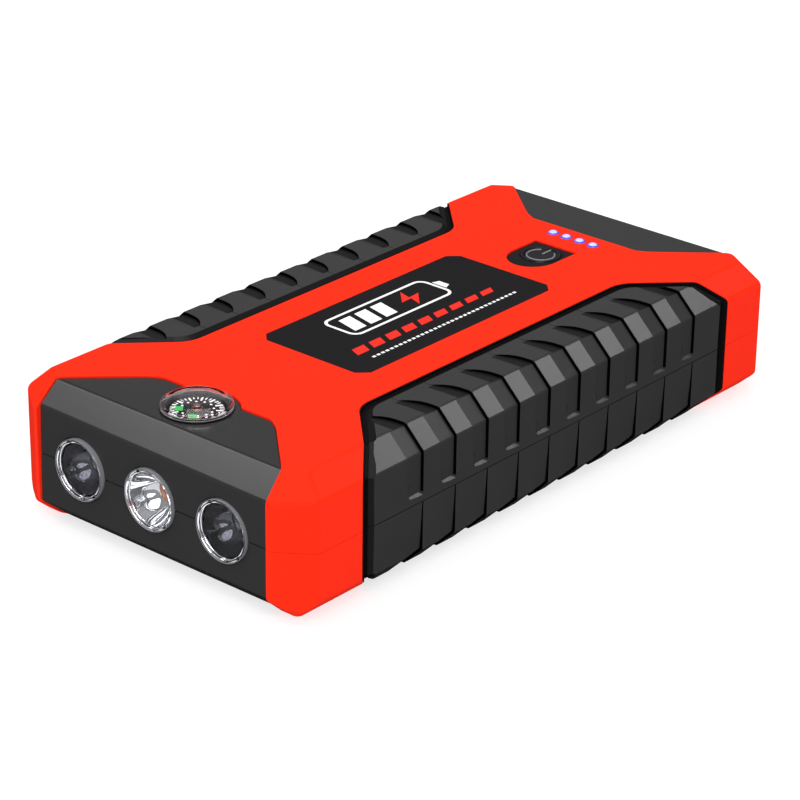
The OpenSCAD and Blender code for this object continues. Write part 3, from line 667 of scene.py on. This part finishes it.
# ------------------------------------------ side grips
# The grip's finishes after the first are painted shade: darker copies of the rubber for the rib walls, the
# groove hollows with the border slope, and the rim round the grip.
GRIP_FINISHES = ("grip_rubber", "grip_recess", "grip_rim", "grip_pocket")
WALL_SHADE, RIM_SHADE, HOLLOW_SHADE = 1, 2, 3  # material indices of the finishes after the first
ON_TOP, ON_BEVEL, ON_SIDE = 0, 1, 2  # where the grip's border runs


def grip_stations(top):
    """Points down the outer form of the right grip, from the inner edge to the parting plane.

    Each is (x, height off that plane, direction that a sink moves it in, share of the groove's depth).
    """
    turn = math.radians(22.5)
    flat, slope, side = Vector((0, 1)), Vector((BEVEL_H, SIDE_BEVEL)).normalized(), Vector((1, 0))
    crease = {"upper": (flat + slope).normalized(), "lower": (slope + side).normalized()}
    mitre = {k: v / math.cos(turn) for k, v in crease.items()}
    edge_x, edge_z, near = HALF_W - SIDE_BEVEL, MID_Z - BEVEL_H, 0.3
    if top:
        fade = [(24.0, 0), (28.0, 0), (29.3, 0), (29.7, 0.06), (30.1, 0.3), (30.6, 0.65), (31.2, 0.92),
                (32.2, 1), (33.5, 1), (35.0, 1), (36.6, 1)]
        down = [(5.5, 1), (LEDGE_H, 1), (LEDGE_FOOT, 0), (0, 0)]
    else:
        fade = [(24.0, 0), (30.0, 0), (32.0, 0), (34.0, 0.6), (36.6, 1)]
        down = [(8.6, 0.75), (4.5, 0.4), (1.0, 0.15), (0, 0.1)]
    stations = [(x, MID_Z, flat, share) for x, share in fade]
    along = Vector((SIDE_BEVEL, -BEVEL_H)).normalized()
    corner = Vector((edge_x, MID_Z))
    for at in (corner - near * Vector((1, 0)), corner - 0.06 * crease["upper"], corner + near * along):
        stations.append((at.x, at.y, mitre["upper"], 1))
    half_way = corner + along * 3.6
    stations.append((half_way.x, half_way.y, slope, 1))
    corner = Vector((HALF_W, edge_z))
    for at in (corner - near * along, corner - 0.06 * crease["lower"], corner - near * Vector((0, 1))):
        stations.append((at.x, at.y, mitre["lower"], 1))
    return stations + [(HALF_W, h, side, share) for h, share in down]


def ribbed_block(top):
    """Closed block whose outer skin carries the sloped ribs."""
    stations = grip_stations(top)
    depth = GROOVE_DEPTH if top else LOWER_GROOVE_DEPTH
    sign = 1 if top else -1
    bm = bmesh.new()

    def row(place, amount, follow, notch=0.0):
        """One row across the skin and back under it; follow is how far it takes the walls' curve.

        notch is how deep the groove's foot is, above the sloped ledge that ends it.
        """
        outer = []
        for x, h, sink, share in stations:
            if notch and h == LEDGE_H:
                outer.append(bm.verts.new((x - notch, place, MID_Z + sign * h)))
                continue
            if notch and h == LEDGE_FOOT:
                outer.append(bm.verts.new((x, place, MID_Z + sign * (LEDGE_H - notch))))
                continue
            lag = BEND * max(0.0, BEND_X - x) ** 3 if h > MID_Z - 0.1 and top else 0.0
            lag = min(lag, BEND_MOST)
            reach = (GROOVE_RUN - lag) / GROOVE_RUN
            d = depth * share * amount * reach
            spot = (x - sink.x * d, place - lag * follow, MID_Z + sign * (h - sink.y * d))
            outer.append(bm.verts.new(spot))
        inner = [bm.verts.new((x - sink.x * GRIP_T, place, MID_Z + sign * max(0.0, h - sink.y * GRIP_T)))
                 for x, h, sink, share in stations]
        return outer + inner[::-1]

    # walls and ramps list the rows whose next strip is part of a rib's wall, or of the ramp to it; those
    # strips are painted darker, as shade
    rows, walls, ramps = [row(-GRIP_END_Y - 1, 0, 0)], [], []
    for i in range(RIB_WALLS):
        wall = FIRST_WALL + i * RIB_PITCH
        start = wall - GROOVE_RUN
        rows.append(row(start, 0, 0))
        for k, notch in ((0.12, 0.0), (0.22, 0.6 * depth), (0.6, 0.85 * depth)):
            rows.append(row(start + k * GROOVE_RUN, k, k, notch if top else 0))
            if notch:
                ramps.append(len(rows) - 1)
        walls.append(len(rows))
        rows.append(row(wall - 0.2, 0.96, 0.96, 0.96 * depth if top else 0))
        walls.append(len(rows))
        rows.append(row(wall - 0.02, 1, 1, depth if top else 0))
        rows.append(row(wall + 0.08, 0.05, 1))
        rows.append(row(wall + 0.2, 0, 1))
    rows.append(row(GRIP_END_Y + 1, 0, 0))
    count = len(rows[0])
    foot = len(stations) - (3 if top else 1)
    for k, (a, b) in enumerate(zip(rows, rows[1:])):
        for i in range(count):
            j = (i + 1) % count
            face = bm.faces.new((a[i], a[j], b[j], b[i]))
            # Painted shade: the strips of the rib walls get the near-black wall finish.
            if k in walls and i < foot:
                face.material_index = WALL_SHADE
            # Painted shade: the ramps' floors on top get the darker hollow finish.
            elif k in ramps and i < len(stations) and stations[i][1] == MID_Z and stations[i][3] > 0.2:
                face.material_index = HOLLOW_SHADE
    bm.faces.new(rows[0])
    bm.faces.new(rows[-1])
    return as_mesh(bm)


def rim_cutter(top):
    """What is taken off round the ribbed body to leave its sloped border."""
    sign = 1 if top else -1
    plan = grip_plan(RIBS_INNER, RIBS_DIAG_Y, RIBS_END_Y)
    edge_x = HALF_W - SIDE_BEVEL
    path = [(HALF_W, plan[-1][1], MID_Z - 20, ON_SIDE), (HALF_W, plan[-1][1], MID_Z - BEVEL_H, ON_SIDE),
            (edge_x, plan[-2][1], MID_Z, ON_BEVEL)]
    path += [(x, y, MID_Z, ON_TOP) for x, y in reversed(plan[:-2])]
    path += [(x, -y, h, face) for x, y, h, face in reversed(path)]
    slope = Vector((BEVEL_H, 0, SIDE_BEVEL)).normalized()
    flat, side = Vector((0, 0, 1)), Vector((1, 0, 0))
    normal_of = {ON_TOP: flat, ON_BEVEL: (slope + flat).normalized() / MITRE,
                 ON_SIDE: (slope + side).normalized() / MITRE}
    points = [Vector((x, y, h)) for x, y, h, face in path]
    normals = [side if h < 0 else normal_of[face] for x, y, h, face in path]
    section = [(1.3, 1.5), (1.3, 0.0), (0.0, -0.7), (0.0, -4.5), (-5.0, -4.5), (-5.0, 1.5)]
    loops = []
    for i, (here, normal) in enumerate(zip(points, normals)):
        before = (here - points[i - 1]).normalized() if i else None
        after = (points[i + 1] - here).normalized() if i + 1 < len(points) else None
        along = ((before or after) + (after or before)).normalized()
        inward = normal.cross(along).normalized()
        inward /= max(0.5, along.dot(after or before))
        loops.append([here + inward * p + normal * n for p, n in section])
    mesh = skin(loops)
    # Painted shade: the cutter's faces become the body's sloped border, which takes the darker hollow
    # finish.
    for face in mesh.polygons:
        face.material_index = HOLLOW_SHADE
    return moved(mesh, Matrix.Translation((0, 0, MID_Z)) @ Matrix.Scale(sign, 4, (0, 0, 1)))


def build_grips():
    # Painted shade: the rim round the ribbed body is near-black rubber standing for the shade of the gap
    # round the grip.
    rim_form = cut(case_form(0.8, EDGE_ROUND * 0.5), case_form(GRIP_T))
    rim_form = common(rim_form, grip_prism(-0.04))
    # Painted shade: the lip is a thin near-black strip that covers the red case's cut wall, where there is
    # only shade.
    lip = cut(case_form(0.1, EDGE_ROUND * 0.9), case_form(GRIP_T))
    rim_form = united(rim_form, cut(common(lip, grip_prism(-0.04)), grip_prism(-0.28)))
    for top, half in ((True, "upper"), (False, "lower")):
        rim = bevelled(common(rim_form, half_space(top, PARTING)), 0.06, 1)
        for face in rim.polygons:
            face.material_index = RIM_SHADE
        body = common(common(ribbed_block(top), grip_prism(-0.3)), half_space(top, DARK_PARTING))
        body = cut(body, rim_cutter(top))
        right = joined(rim, body)
        left = mirrored(right)
        for side, mesh in (("right", right), ("left", left)):
            put(f"{side}_grip_{half}_ribs", mesh, GRIP_FINISHES,
                nodes=[f"{side}_grip_{half}"], sharp=6.0, weighted=False)


# ------------------------------------------ front lights
BOWL_MOUTH, BOWL_THROAT, BOWL_TOP, BOWL_FLOOR = 6.5, 2.6, -1.3, -6.6
FLUTES, FLUTE_DEPTH = 6, {"bright": 0.3, "dark": 0.4}
LAMP_R, LAMP_TIP = 2.4, -4.6


def bowl_mesh(wave, sides=120, rows=18):
    """Reflector about +Z, with its mouth at BOWL_TOP and shallow flutes that run down the bowl."""
    turns = [2 * math.pi * i / sides for i in range(sides)]
    loops = []
    for k in range(rows + 1):
        share = k / rows
        radius = BOWL_THROAT + (BOWL_MOUTH - BOWL_THROAT) * math.sqrt(1 - share)
        swell = wave * math.sin(math.pi * share) ** 0.6
        z = BOWL_TOP + share * (BOWL_FLOOR - BOWL_TOP)
        reach = [radius + swell * (abs(math.cos(FLUTES * t / 2)) - 0.6) for t in turns]
        loops.append([(r * math.cos(t), r * math.sin(t), z) for r, t in zip(reach, turns)])
    loops += [ring(radius, z, sides) for radius, z in
              ((BOWL_THROAT, -10.6), (BOWL_THROAT + 1.0, -10.6), (BOWL_THROAT + 1.2, -7.8), (5.8, -5.4),
               (BOWL_MOUTH + 0.5, -2.4), (BOWL_MOUTH + 0.5, BOWL_TOP))]
    return skin(loops, wrap=True)


def build_lights():
    """The three lights, as shapes about +Z whose fronts are near z = 0, turned to face the front."""
    trim = [(7.2, -1.15), (7.2, 0.04), (7.17, 0.13), (7.13, 0.17), (7.07, 0.14), (7.04, 0), (7.04, -1.15)]
    lens = [(0.01, -1.15), (5.6, -1.1), (6.2, -1.2), (7.02, -1.2), (7.02, -0.1), (6.92, 0.08), (6.7, 0.17),
            (6.45, 0.06), (6.3, -0.2), (6.0, -0.32), (4.6, -0.24), (2.6, -0.1), (0.01, -0.04)]
    seat = [(6.8, -1.22), (6.8, -2.4), (6.45, -2.4), (6.45, -1.22)]
    lamp = [(0.01, -13.0), (2.9, -13.0), (2.9, -12.0), (LAMP_R, -12.0)]
    lamp += [(LAMP_R * math.cos(a), LAMP_TIP - LAMP_R + LAMP_R * math.sin(a))
             for a in (i * math.pi / 16 for i in range(8))]
    lamp.append((0.01, LAMP_TIP))
    core = [(0.01, -12.5), (0.9, -12.5), (0.9, -7.6), (1.4, -7.4), (1.6, -5.9), (1.3, -5.7), (0.01, -5.6)]
    for side, finish in LIGHTS.items():
        centre = middle("torch_lens_" + side)
        bright = finish == "bright"
        stands_for = ["torch_leds"] if side == "middle" else []

        def place(mesh):
            return shifted(facing(mesh, -1), x=centre.x, y=-HALF_L, z=centre.z)

        glass = put(f"lens_{side}", place(lathe(lens, 96)), "clear_plastic",
                    nodes=["torch_lens_" + side])
        glass.visible_shadow = False
        put(f"lens_trim_{side}", place(lathe(trim, 96, wrap=True)), "lens_rim")
        put(f"lens_seat_{side}", place(lathe(seat, 96, wrap=True)), "chrome")
        bowl = place(bowl_mesh(FLUTE_DEPTH[finish]))
        put(f"reflector_{side}", bowl, "silvered" if bright else "smoked_chrome",
            nodes=["torch_reflector_" + side], sharp=30, weighted=False)
        case = put(f"lamp_{side}", place(lathe(lamp, 48)), "lamp_resin", nodes=stands_for)
        case.visible_shadow = False
        put(f"lamp_core_{side}", place(lathe(core, 48)), "led_amber" if bright else "smoked_chrome")


# ------------------------------------------ compass
DIAL_TOP = span("compass_dial")[1].z - 0.1  # high enough for the card's near edge to show over the rim
DIAL_R = radius_of("compass_dial")
DIAL_HEADING = 152
TICKS, DOTS, GREEN_MARKS = 36, 12, (21, 302)


def around(mesh, angle, radius):
    """Moves a shape made at the origin out along +Y by radius, then turns it clockwise about Z."""
    return moved(shifted(mesh, y=radius), Matrix.Rotation(-math.radians(angle), 4, "Z"))


def build_compass():
    z, r = HEIGHT - PANEL_SINK, COMPASS_R
    cup = lathe([(0.01, z - 6.2), (r - 0.65, z - 6.2), (r - 0.65, z), (r - 0.05, z), (r, z + 0.08),
                 (r, z + 0.34), (r - 0.12, z + 0.48), (r - 1.2, z + 0.5), (r - 1.6, z + 0.2),
                 (r - 1.6, z - 5.2), (0.01, z - 5.2)], 96)
    put("compass_body", shifted(cup, y=COMPASS.y), "black_trim", nodes=["compass_cup"])
    top = span("compass_dome")[1].z
    outer = [(r - 0.12, z + 0.52), (r - 0.06, z + 0.9), (r - 0.16, z + 1.3), (r - 0.4, z + 1.7),
             (r - 1.0, top - 0.95), (r - 1.7, top - 0.5), (r - 2.6, top - 0.22), (r - 4.2, top - 0.06),
             (0.01, top)]
    shell = outer + [(max(0.01, x - 0.35), h - 0.35) for x, h in reversed(outer[2:])]
    shell += [(r - 0.42, z + 0.9), (r - 0.45, z + 0.52)]
    dome = shifted(lathe(shell, 96, wrap=True), y=COMPASS.y)
    window = put("compass_window", dome, "dome_plastic", nodes=["compass_dome"])
    window.visible_shadow = False
    build_dial()


def build_dial():
    card = lathe([(0.01, DIAL_TOP - 0.5), (DIAL_R - 0.1, DIAL_TOP - 0.5), (DIAL_R, DIAL_TOP - 0.4),
                  (DIAL_R, DIAL_TOP - 0.05), (DIAL_R - 0.08, DIAL_TOP), (0.01, DIAL_TOP)], 96)
    white, green = [], []
    print_top = DIAL_TOP + 0.05
    for step in range(TICKS):
        half, length = (0.13, 1.0) if step % 3 else (0.2, 1.7)
        tick = brick((-half, -length, DIAL_TOP), (half, 0, print_top))
        white.append(around(tick, step * 360 / TICKS, DIAL_R - 0.15))
    for step in range(DOTS):
        dot = lathe([(0.01, DIAL_TOP), (0.28, DIAL_TOP), (0.28, print_top), (0.01, print_top)], 16)
        white.append(around(dot, (step + 0.5) * 360 / DOTS, DIAL_R - 2.4))
    arrow = [(-0.9, -2.6), (0.9, -2.6), (1.0, -1.2), (0, -0.3), (-1.0, -1.2)]
    for angle in GREEN_MARKS:
        green.append(around(prism(arrow, DIAL_TOP, DIAL_TOP + 0.08), angle, DIAL_R - 0.4))
    turn = Matrix.Translation((0, COMPASS.y, 0)) @ Matrix.Rotation(math.radians(DIAL_HEADING), 4, "Z")
    put("dial_card", moved(card, turn), "compass_card", "dial", ["compass_dial"])
    put("dial_marks", moved(joined(*white), turn), "print_white", "dial")
    put("dial_arrows", moved(joined(*green), turn), "compass_green", "dial")
    hub = lathe([(0.01, DIAL_TOP), (1.3, DIAL_TOP), (1.25, DIAL_TOP + 0.2), (0.95, DIAL_TOP + 0.3),
                 (0.85, DIAL_TOP + 0.8), (0.6, DIAL_TOP + 0.97), (0.01, DIAL_TOP + 1.0)], 48)
    put("dial_hub", shifted(hub, y=COMPASS.y), "compass_hub", "dial")


# ------------------------------------------ label
def slanted(y0, y1, x0, x1, lean):
    """Outline of a bar that leans forward: y along the label, x across it."""
    return [(x0, y0 + lean), (x0, y1 + lean), (x1, y1), (x1, y0)]


def build_label():
    plate = bevelled(label_prism(0, LABEL_LO.z, LABEL_HI.z), 0.06, 1)
    put("label_sheet", plate, "label", nodes=["label_plate"])
    z0, z1 = LABEL_HI.z - 0.02, LABEL_HI.z + 0.04
    centre_x, hx, hy, line = -5.2, 5.6, 17.5, 0.75

    def at_battery(points):
        return [(x + centre_x, y - 1.5) for x, y in points]

    white = [frame_band(at_battery(rounded_box(hx, hy, 2.6)),
                        at_battery(rounded_box(hx - line, hy - line, 1.9)), z0, z1),
             prism(at_battery([(-2.2, hy + 0.5), (2.2, hy + 0.5), (1.5, hy + 2.4), (-1.5, hy + 2.4)]),
                   z0, z1)]
    for i in range(3):
        white.append(prism(at_battery(slanted(-15.2 + 5.4 * i, -11.4 + 5.4 * i, -3.3, 3.3, 1.6)), z0, z1))
    bolt = at_battery([(-3.9, 8.6), (0.5, 4.2), (0.3, 7.6), (3.9, 6.4), (-0.6, 11.2), (-0.3, 7.6)])
    red = [prism(bolt, z0, z1)]
    for i in range(9):
        red.append(prism(slanted(-26.5 + 5.6 * i, -22.6 + 5.6 * i, 4.6, 7.6 - 0.12 * i, 1.3), z0, z1))
    for i in range(34):
        y = -25 + 1.5 * i
        white.append(brick((10.3, y, z0), (11.0, y + 0.9, z1)))
    put("label_print_white", joined(*white), "print_white")
    put("label_print_red", joined(*red), "print_red")


# ------------------------------------------ button and indicators
def build_button():
    z0, z1 = BEZEL_LO.z, BEZEL_HI.z
    plate = cut(shield_prism(0, z0, z1), shifted(rod(BUTTON_R + 0.07, 0, FAR), y=BUTTON.y))
    put("button_surround", bevelled(plate, 0.1), "black_trim", nodes=["button_bezel"])
    low, top = (corner.z for corner in span("power_button"))
    r = BUTTON_R
    cap = lathe([(0.01, low), (r + 0.85, low), (r + 0.85, low + 0.5), (r, low + 0.6), (r, top - 0.55),
                 (r - 0.05, top - 0.25), (r - 0.2, top - 0.06), (r - 0.45, top), (r - 0.7, top - 0.06),
                 (r - 1.0, top - 0.24), (r - 1.5, top - 0.34), (0.01, top - 0.38)], 96)
    put("button_cap", shifted(cap, y=BUTTON.y), "button_cap", "button", ["power_button"])
    height = top - 0.3
    curve = [(x, y + BUTTON.y, height) for x, y in arc(0, 0, 3.4, 126, 414, 40)]
    bar = [(0, BUTTON.y + y, height) for y in (0.7, 2.3, 3.9)]
    put("button_sign", joined(tube(curve, 0.2), tube(bar, 0.22)), "button_sign", "button")


def build_indicators():
    low, top = (corner.z for corner in span("indicator_leds"))
    cores, edges = [], []
    for x, y in indicator_places():
        core = lathe([(0.01, low), (1.02, low), (1.02, HEIGHT + 0.16), (0.75, top - 0.12), (0.4, top - 0.02),
                      (0.01, top)], 40)
        edge = lathe([(1.03, low), (1.48, low), (1.48, HEIGHT - 0.05), (1.4, HEIGHT + 0.05),
                      (1.03, HEIGHT + 0.16)], 40, wrap=True)
        cores.append(shifted(core, x=x, y=y))
        edges.append(shifted(edge, x=x, y=y))
    put("indicator_cores", joined(*cores), "indicator", nodes=["indicator_leds"])
    put("indicator_rings", joined(*edges), "indicator_edge")


# ------------------------------------------ rear sockets
USB_RISE, USB_H, JACK_RISE = 4.6, 5.8, 5.6
KNUCKLE_R = 0.85
FLAP_LO, FLAP_HI = span("dust_cover")
POCKET_Y = HALF_L - 2.0


def rear_cutters():
    deep, gap = HALF_L - 8, 0.08
    cutters = []
    for node in ("usb_socket_left", "usb_socket_right"):
        lo, hi = span(node)
        for s in (-1, 1):
            z = MID_Z + s * USB_RISE
            cutters.append(brick((lo.x - gap, deep, z - USB_H / 2 - gap),
                                 (hi.x + gap, FAR, z + USB_H / 2 + gap)))
    jack = middle("dc_output_jack").x
    for s in (-1, 1):
        cutters.append(shifted(facing(rod(4.08, deep, FAR, 48), 1), x=jack, z=MID_Z + s * JACK_RISE))
    lo, hi = span("jump_socket")
    cutters.append(brick((lo.x - gap, deep, lo.z - gap), (hi.x + gap, FAR, hi.z + gap)))
    cutters.append(brick((FLAP_LO.x - 0.75, POCKET_Y, FLAP_LO.z - 0.3),
                         (FLAP_HI.x + 0.3, FAR, FLAP_HI.z + 0.3)))
    return cutters


def build_rear_panel():
    shell = cut(case_form(PANEL_SINK, EDGE_ROUND * 0.6), case_form(PANEL_SINK + 2.8))
    shell = cut(common(shell, panel_prism(-PANEL_GAP, 1)), *rear_cutters())
    pin = middle("dust_cover_pin")
    for top, name in ((True, "upper"), (False, "lower")):
        half = common(shell, half_space(top, DARK_PARTING))
        s = 1 if top else -1
        z0, z1 = sorted((MID_Z + s * 3.15, MID_Z + s * 6.45))
        lug = rod(KNUCKLE_R, z0, z1, 32)
        foot = brick((-KNUCKLE_R, POCKET_Y - pin.y - 0.02, z0), (KNUCKLE_R, 0, z1))
        lug = cut(united(shifted(foot, x=pin.x, y=pin.y), shifted(lug, x=pin.x, y=pin.y)),
                  shifted(rod(0.52, 0, FAR, 24), x=pin.x, y=pin.y))
        put(f"rear_panel_{name}_skin", joined(bevelled(half, 0.1), bevelled(lug, 0.08, 1)), "dark_panel",
            nodes=["rear_panel_" + name])


def build_sockets():
    tongues, contacts = [], []
    for node in ("usb_socket_left", "usb_socket_right"):
        x = middle(node).x
        y0, y1 = (corner.y for corner in span("usb_tongues"))
        for s in (-1, 1):
            z = MID_Z + s * USB_RISE + 0.35
            tongues.append(bevelled(brick((x - 5.6, y0, z), (x + 5.6, y1, z + 1.8)), 0.25))
            for at in (-3.5, -1.0, 1.0, 3.5):
                cx = x + at
                strip = brick((cx - 0.5, y0 + 3, z - 0.12), (cx + 0.5, y1 - 0.8, z + 0.2))
                contacts.append(bevelled(strip, 0.08, 1))
    put("usb_tongue_set", joined(*tongues), "white_plastic", nodes=["usb_tongues"])
    put("usb_contact_set", joined(*contacts), "brass")


def build_flap():
    lo, hi, y1 = FLAP_LO, FLAP_HI, HALF_L - 0.1
    plate_x, hinge = lo.x + 2.25, middle("dust_cover_pin")
    plate_y = POCKET_Y + 0.1
    plate = bevelled(brick((plate_x, plate_y, lo.z), (hi.x, y1 - 0.1, hi.z)), 0.45, 3)
    dish = brick((plate_x + 1.6, y1 - 0.45, lo.z + 1.6), (hi.x - 4.2, y1 + 1, hi.z - 1.6))
    plate = cut(plate, bevelled(dish, 0.2))
    for i in range(3):
        x = hi.x - 3.3 + 0.95 * i
        plate = united(plate, bevelled(brick((x, y1 - 0.6, lo.z + 2.6), (x + 0.45, y1, hi.z - 2.6)), 0.12))
    arm = brick((hinge.x, hinge.y - 0.8, MID_Z - 3), (plate_x + 0.6, hinge.y + 0.75, MID_Z + 3))
    knuckle = shifted(rod(KNUCKLE_R, MID_Z - 3, MID_Z + 3, 32), x=hinge.x, y=hinge.y)
    body = cut(united(plate, arm, knuckle), shifted(rod(0.55, 0, FAR, 24), x=hinge.x, y=hinge.y))
    jump = middle("jump_socket")
    plug = frame_band(rounded_box(9.3, 4.5, 1.2), rounded_box(8.3, 3.5, 0.6), -0.1, 1.5)
    plug = shifted(facing(plug, -1), x=jump.x, y=plate_y, z=jump.z)
    put("flap_skin", joined(bevelled(body, 0.06, 1), plug), "flap_rubber", "flap",
        ["dust_cover"])


# ------------------------------------------ fasteners and pads
def build_screws():
    head, shank = SCREW_HEAD_R, 1.25
    low, high = (corner.z for corner in span("case_screws"))
    made = []
    for x, y in screw_places():
        screw = lathe([(0.01, low), (head - 0.5, low), (head - 0.1, low + 0.3), (head, low + 0.8),
                       (head, low + 2.1), (shank, low + 2.12), (shank, high - 1), (shank - 0.4, high)], 40)
        for long_x, long_y in ((1.35, 0.3), (0.3, 1.35)):
            screw = cut(screw, brick((-long_x, -long_y, low - 1), (long_x, long_y, low + 1.0)))
        made.append(shifted(screw, x=x, y=y))
    put("case_screw_set", joined(*made), "plated_steel", nodes=["case_screws"])


def build_pads():
    """Foam pads: soft crowned blocks in the CAD pads' own space."""
    for node in ("battery_foam_top", "battery_foam_bottom"):
        lo, hi = span(node)
        half = (hi - lo) / 2
        loops = []
        for share, inset in ((0.0, 1.2), (0.12, 0.4), (0.35, 0.05), (0.65, 0.05), (0.88, 0.4), (1.0, 1.2)):
            outline = rounded_box(half.x - inset, half.y - inset, 2.2, 4)
            loops.append([(x, y, lo.z + 0.03 + share * (hi.z - lo.z - 0.06)) for x, y in outline])
        mesh = shifted(skin(loops), y=(lo.y + hi.y) / 2)
        pad = put(node.replace("battery_", "") + "_pad", mesh, "foam", nodes=[node], sharp=60)


# ------------------------------------------ what stays as the CAD made it
LOOKS = {"reflector": "chrome", "wire_insulation": "wire_red"}  # slots whose material has another name
SOFT_EDGE = ("usb_socket_left", "usb_socket_right", "dc_output_jack", "dc_input_jack", "jump_socket",
             "jump_contacts", "main_board", "control_board", "torch_board", "tact_switch", "compass_magnet")


def dress_cad_nodes():
    """Gives each CAD node its slot's material, and softens the edges of those in SOFT_EDGE."""
    slots = {part["node"]: part["material_slot"] for part in frame["record"]["subparts"]}
    for name, obj in frame["nodes"].items():
        look = MATERIALS[LOOKS.get(slots[name], slots[name])]
        if not obj.material_slots:
            obj.data.materials.append(look)
        for holder in obj.material_slots:
            holder.material = look
        if name in SOFT_EDGE:
            mod = obj.modifiers.new("soft_edge", "BEVEL")
            mod.width = 0.12 * MM
            mod.segments = 2
            mod.limit_method = "ANGLE"
            mod.use_clamp_overlap = True


build_covers()
build_panels()
build_grips()
build_lights()
build_compass()
build_label()
build_button()
build_indicators()
build_rear_panel()
build_sockets()
build_flap()
build_screws()
build_pads()
dress_cad_nodes()
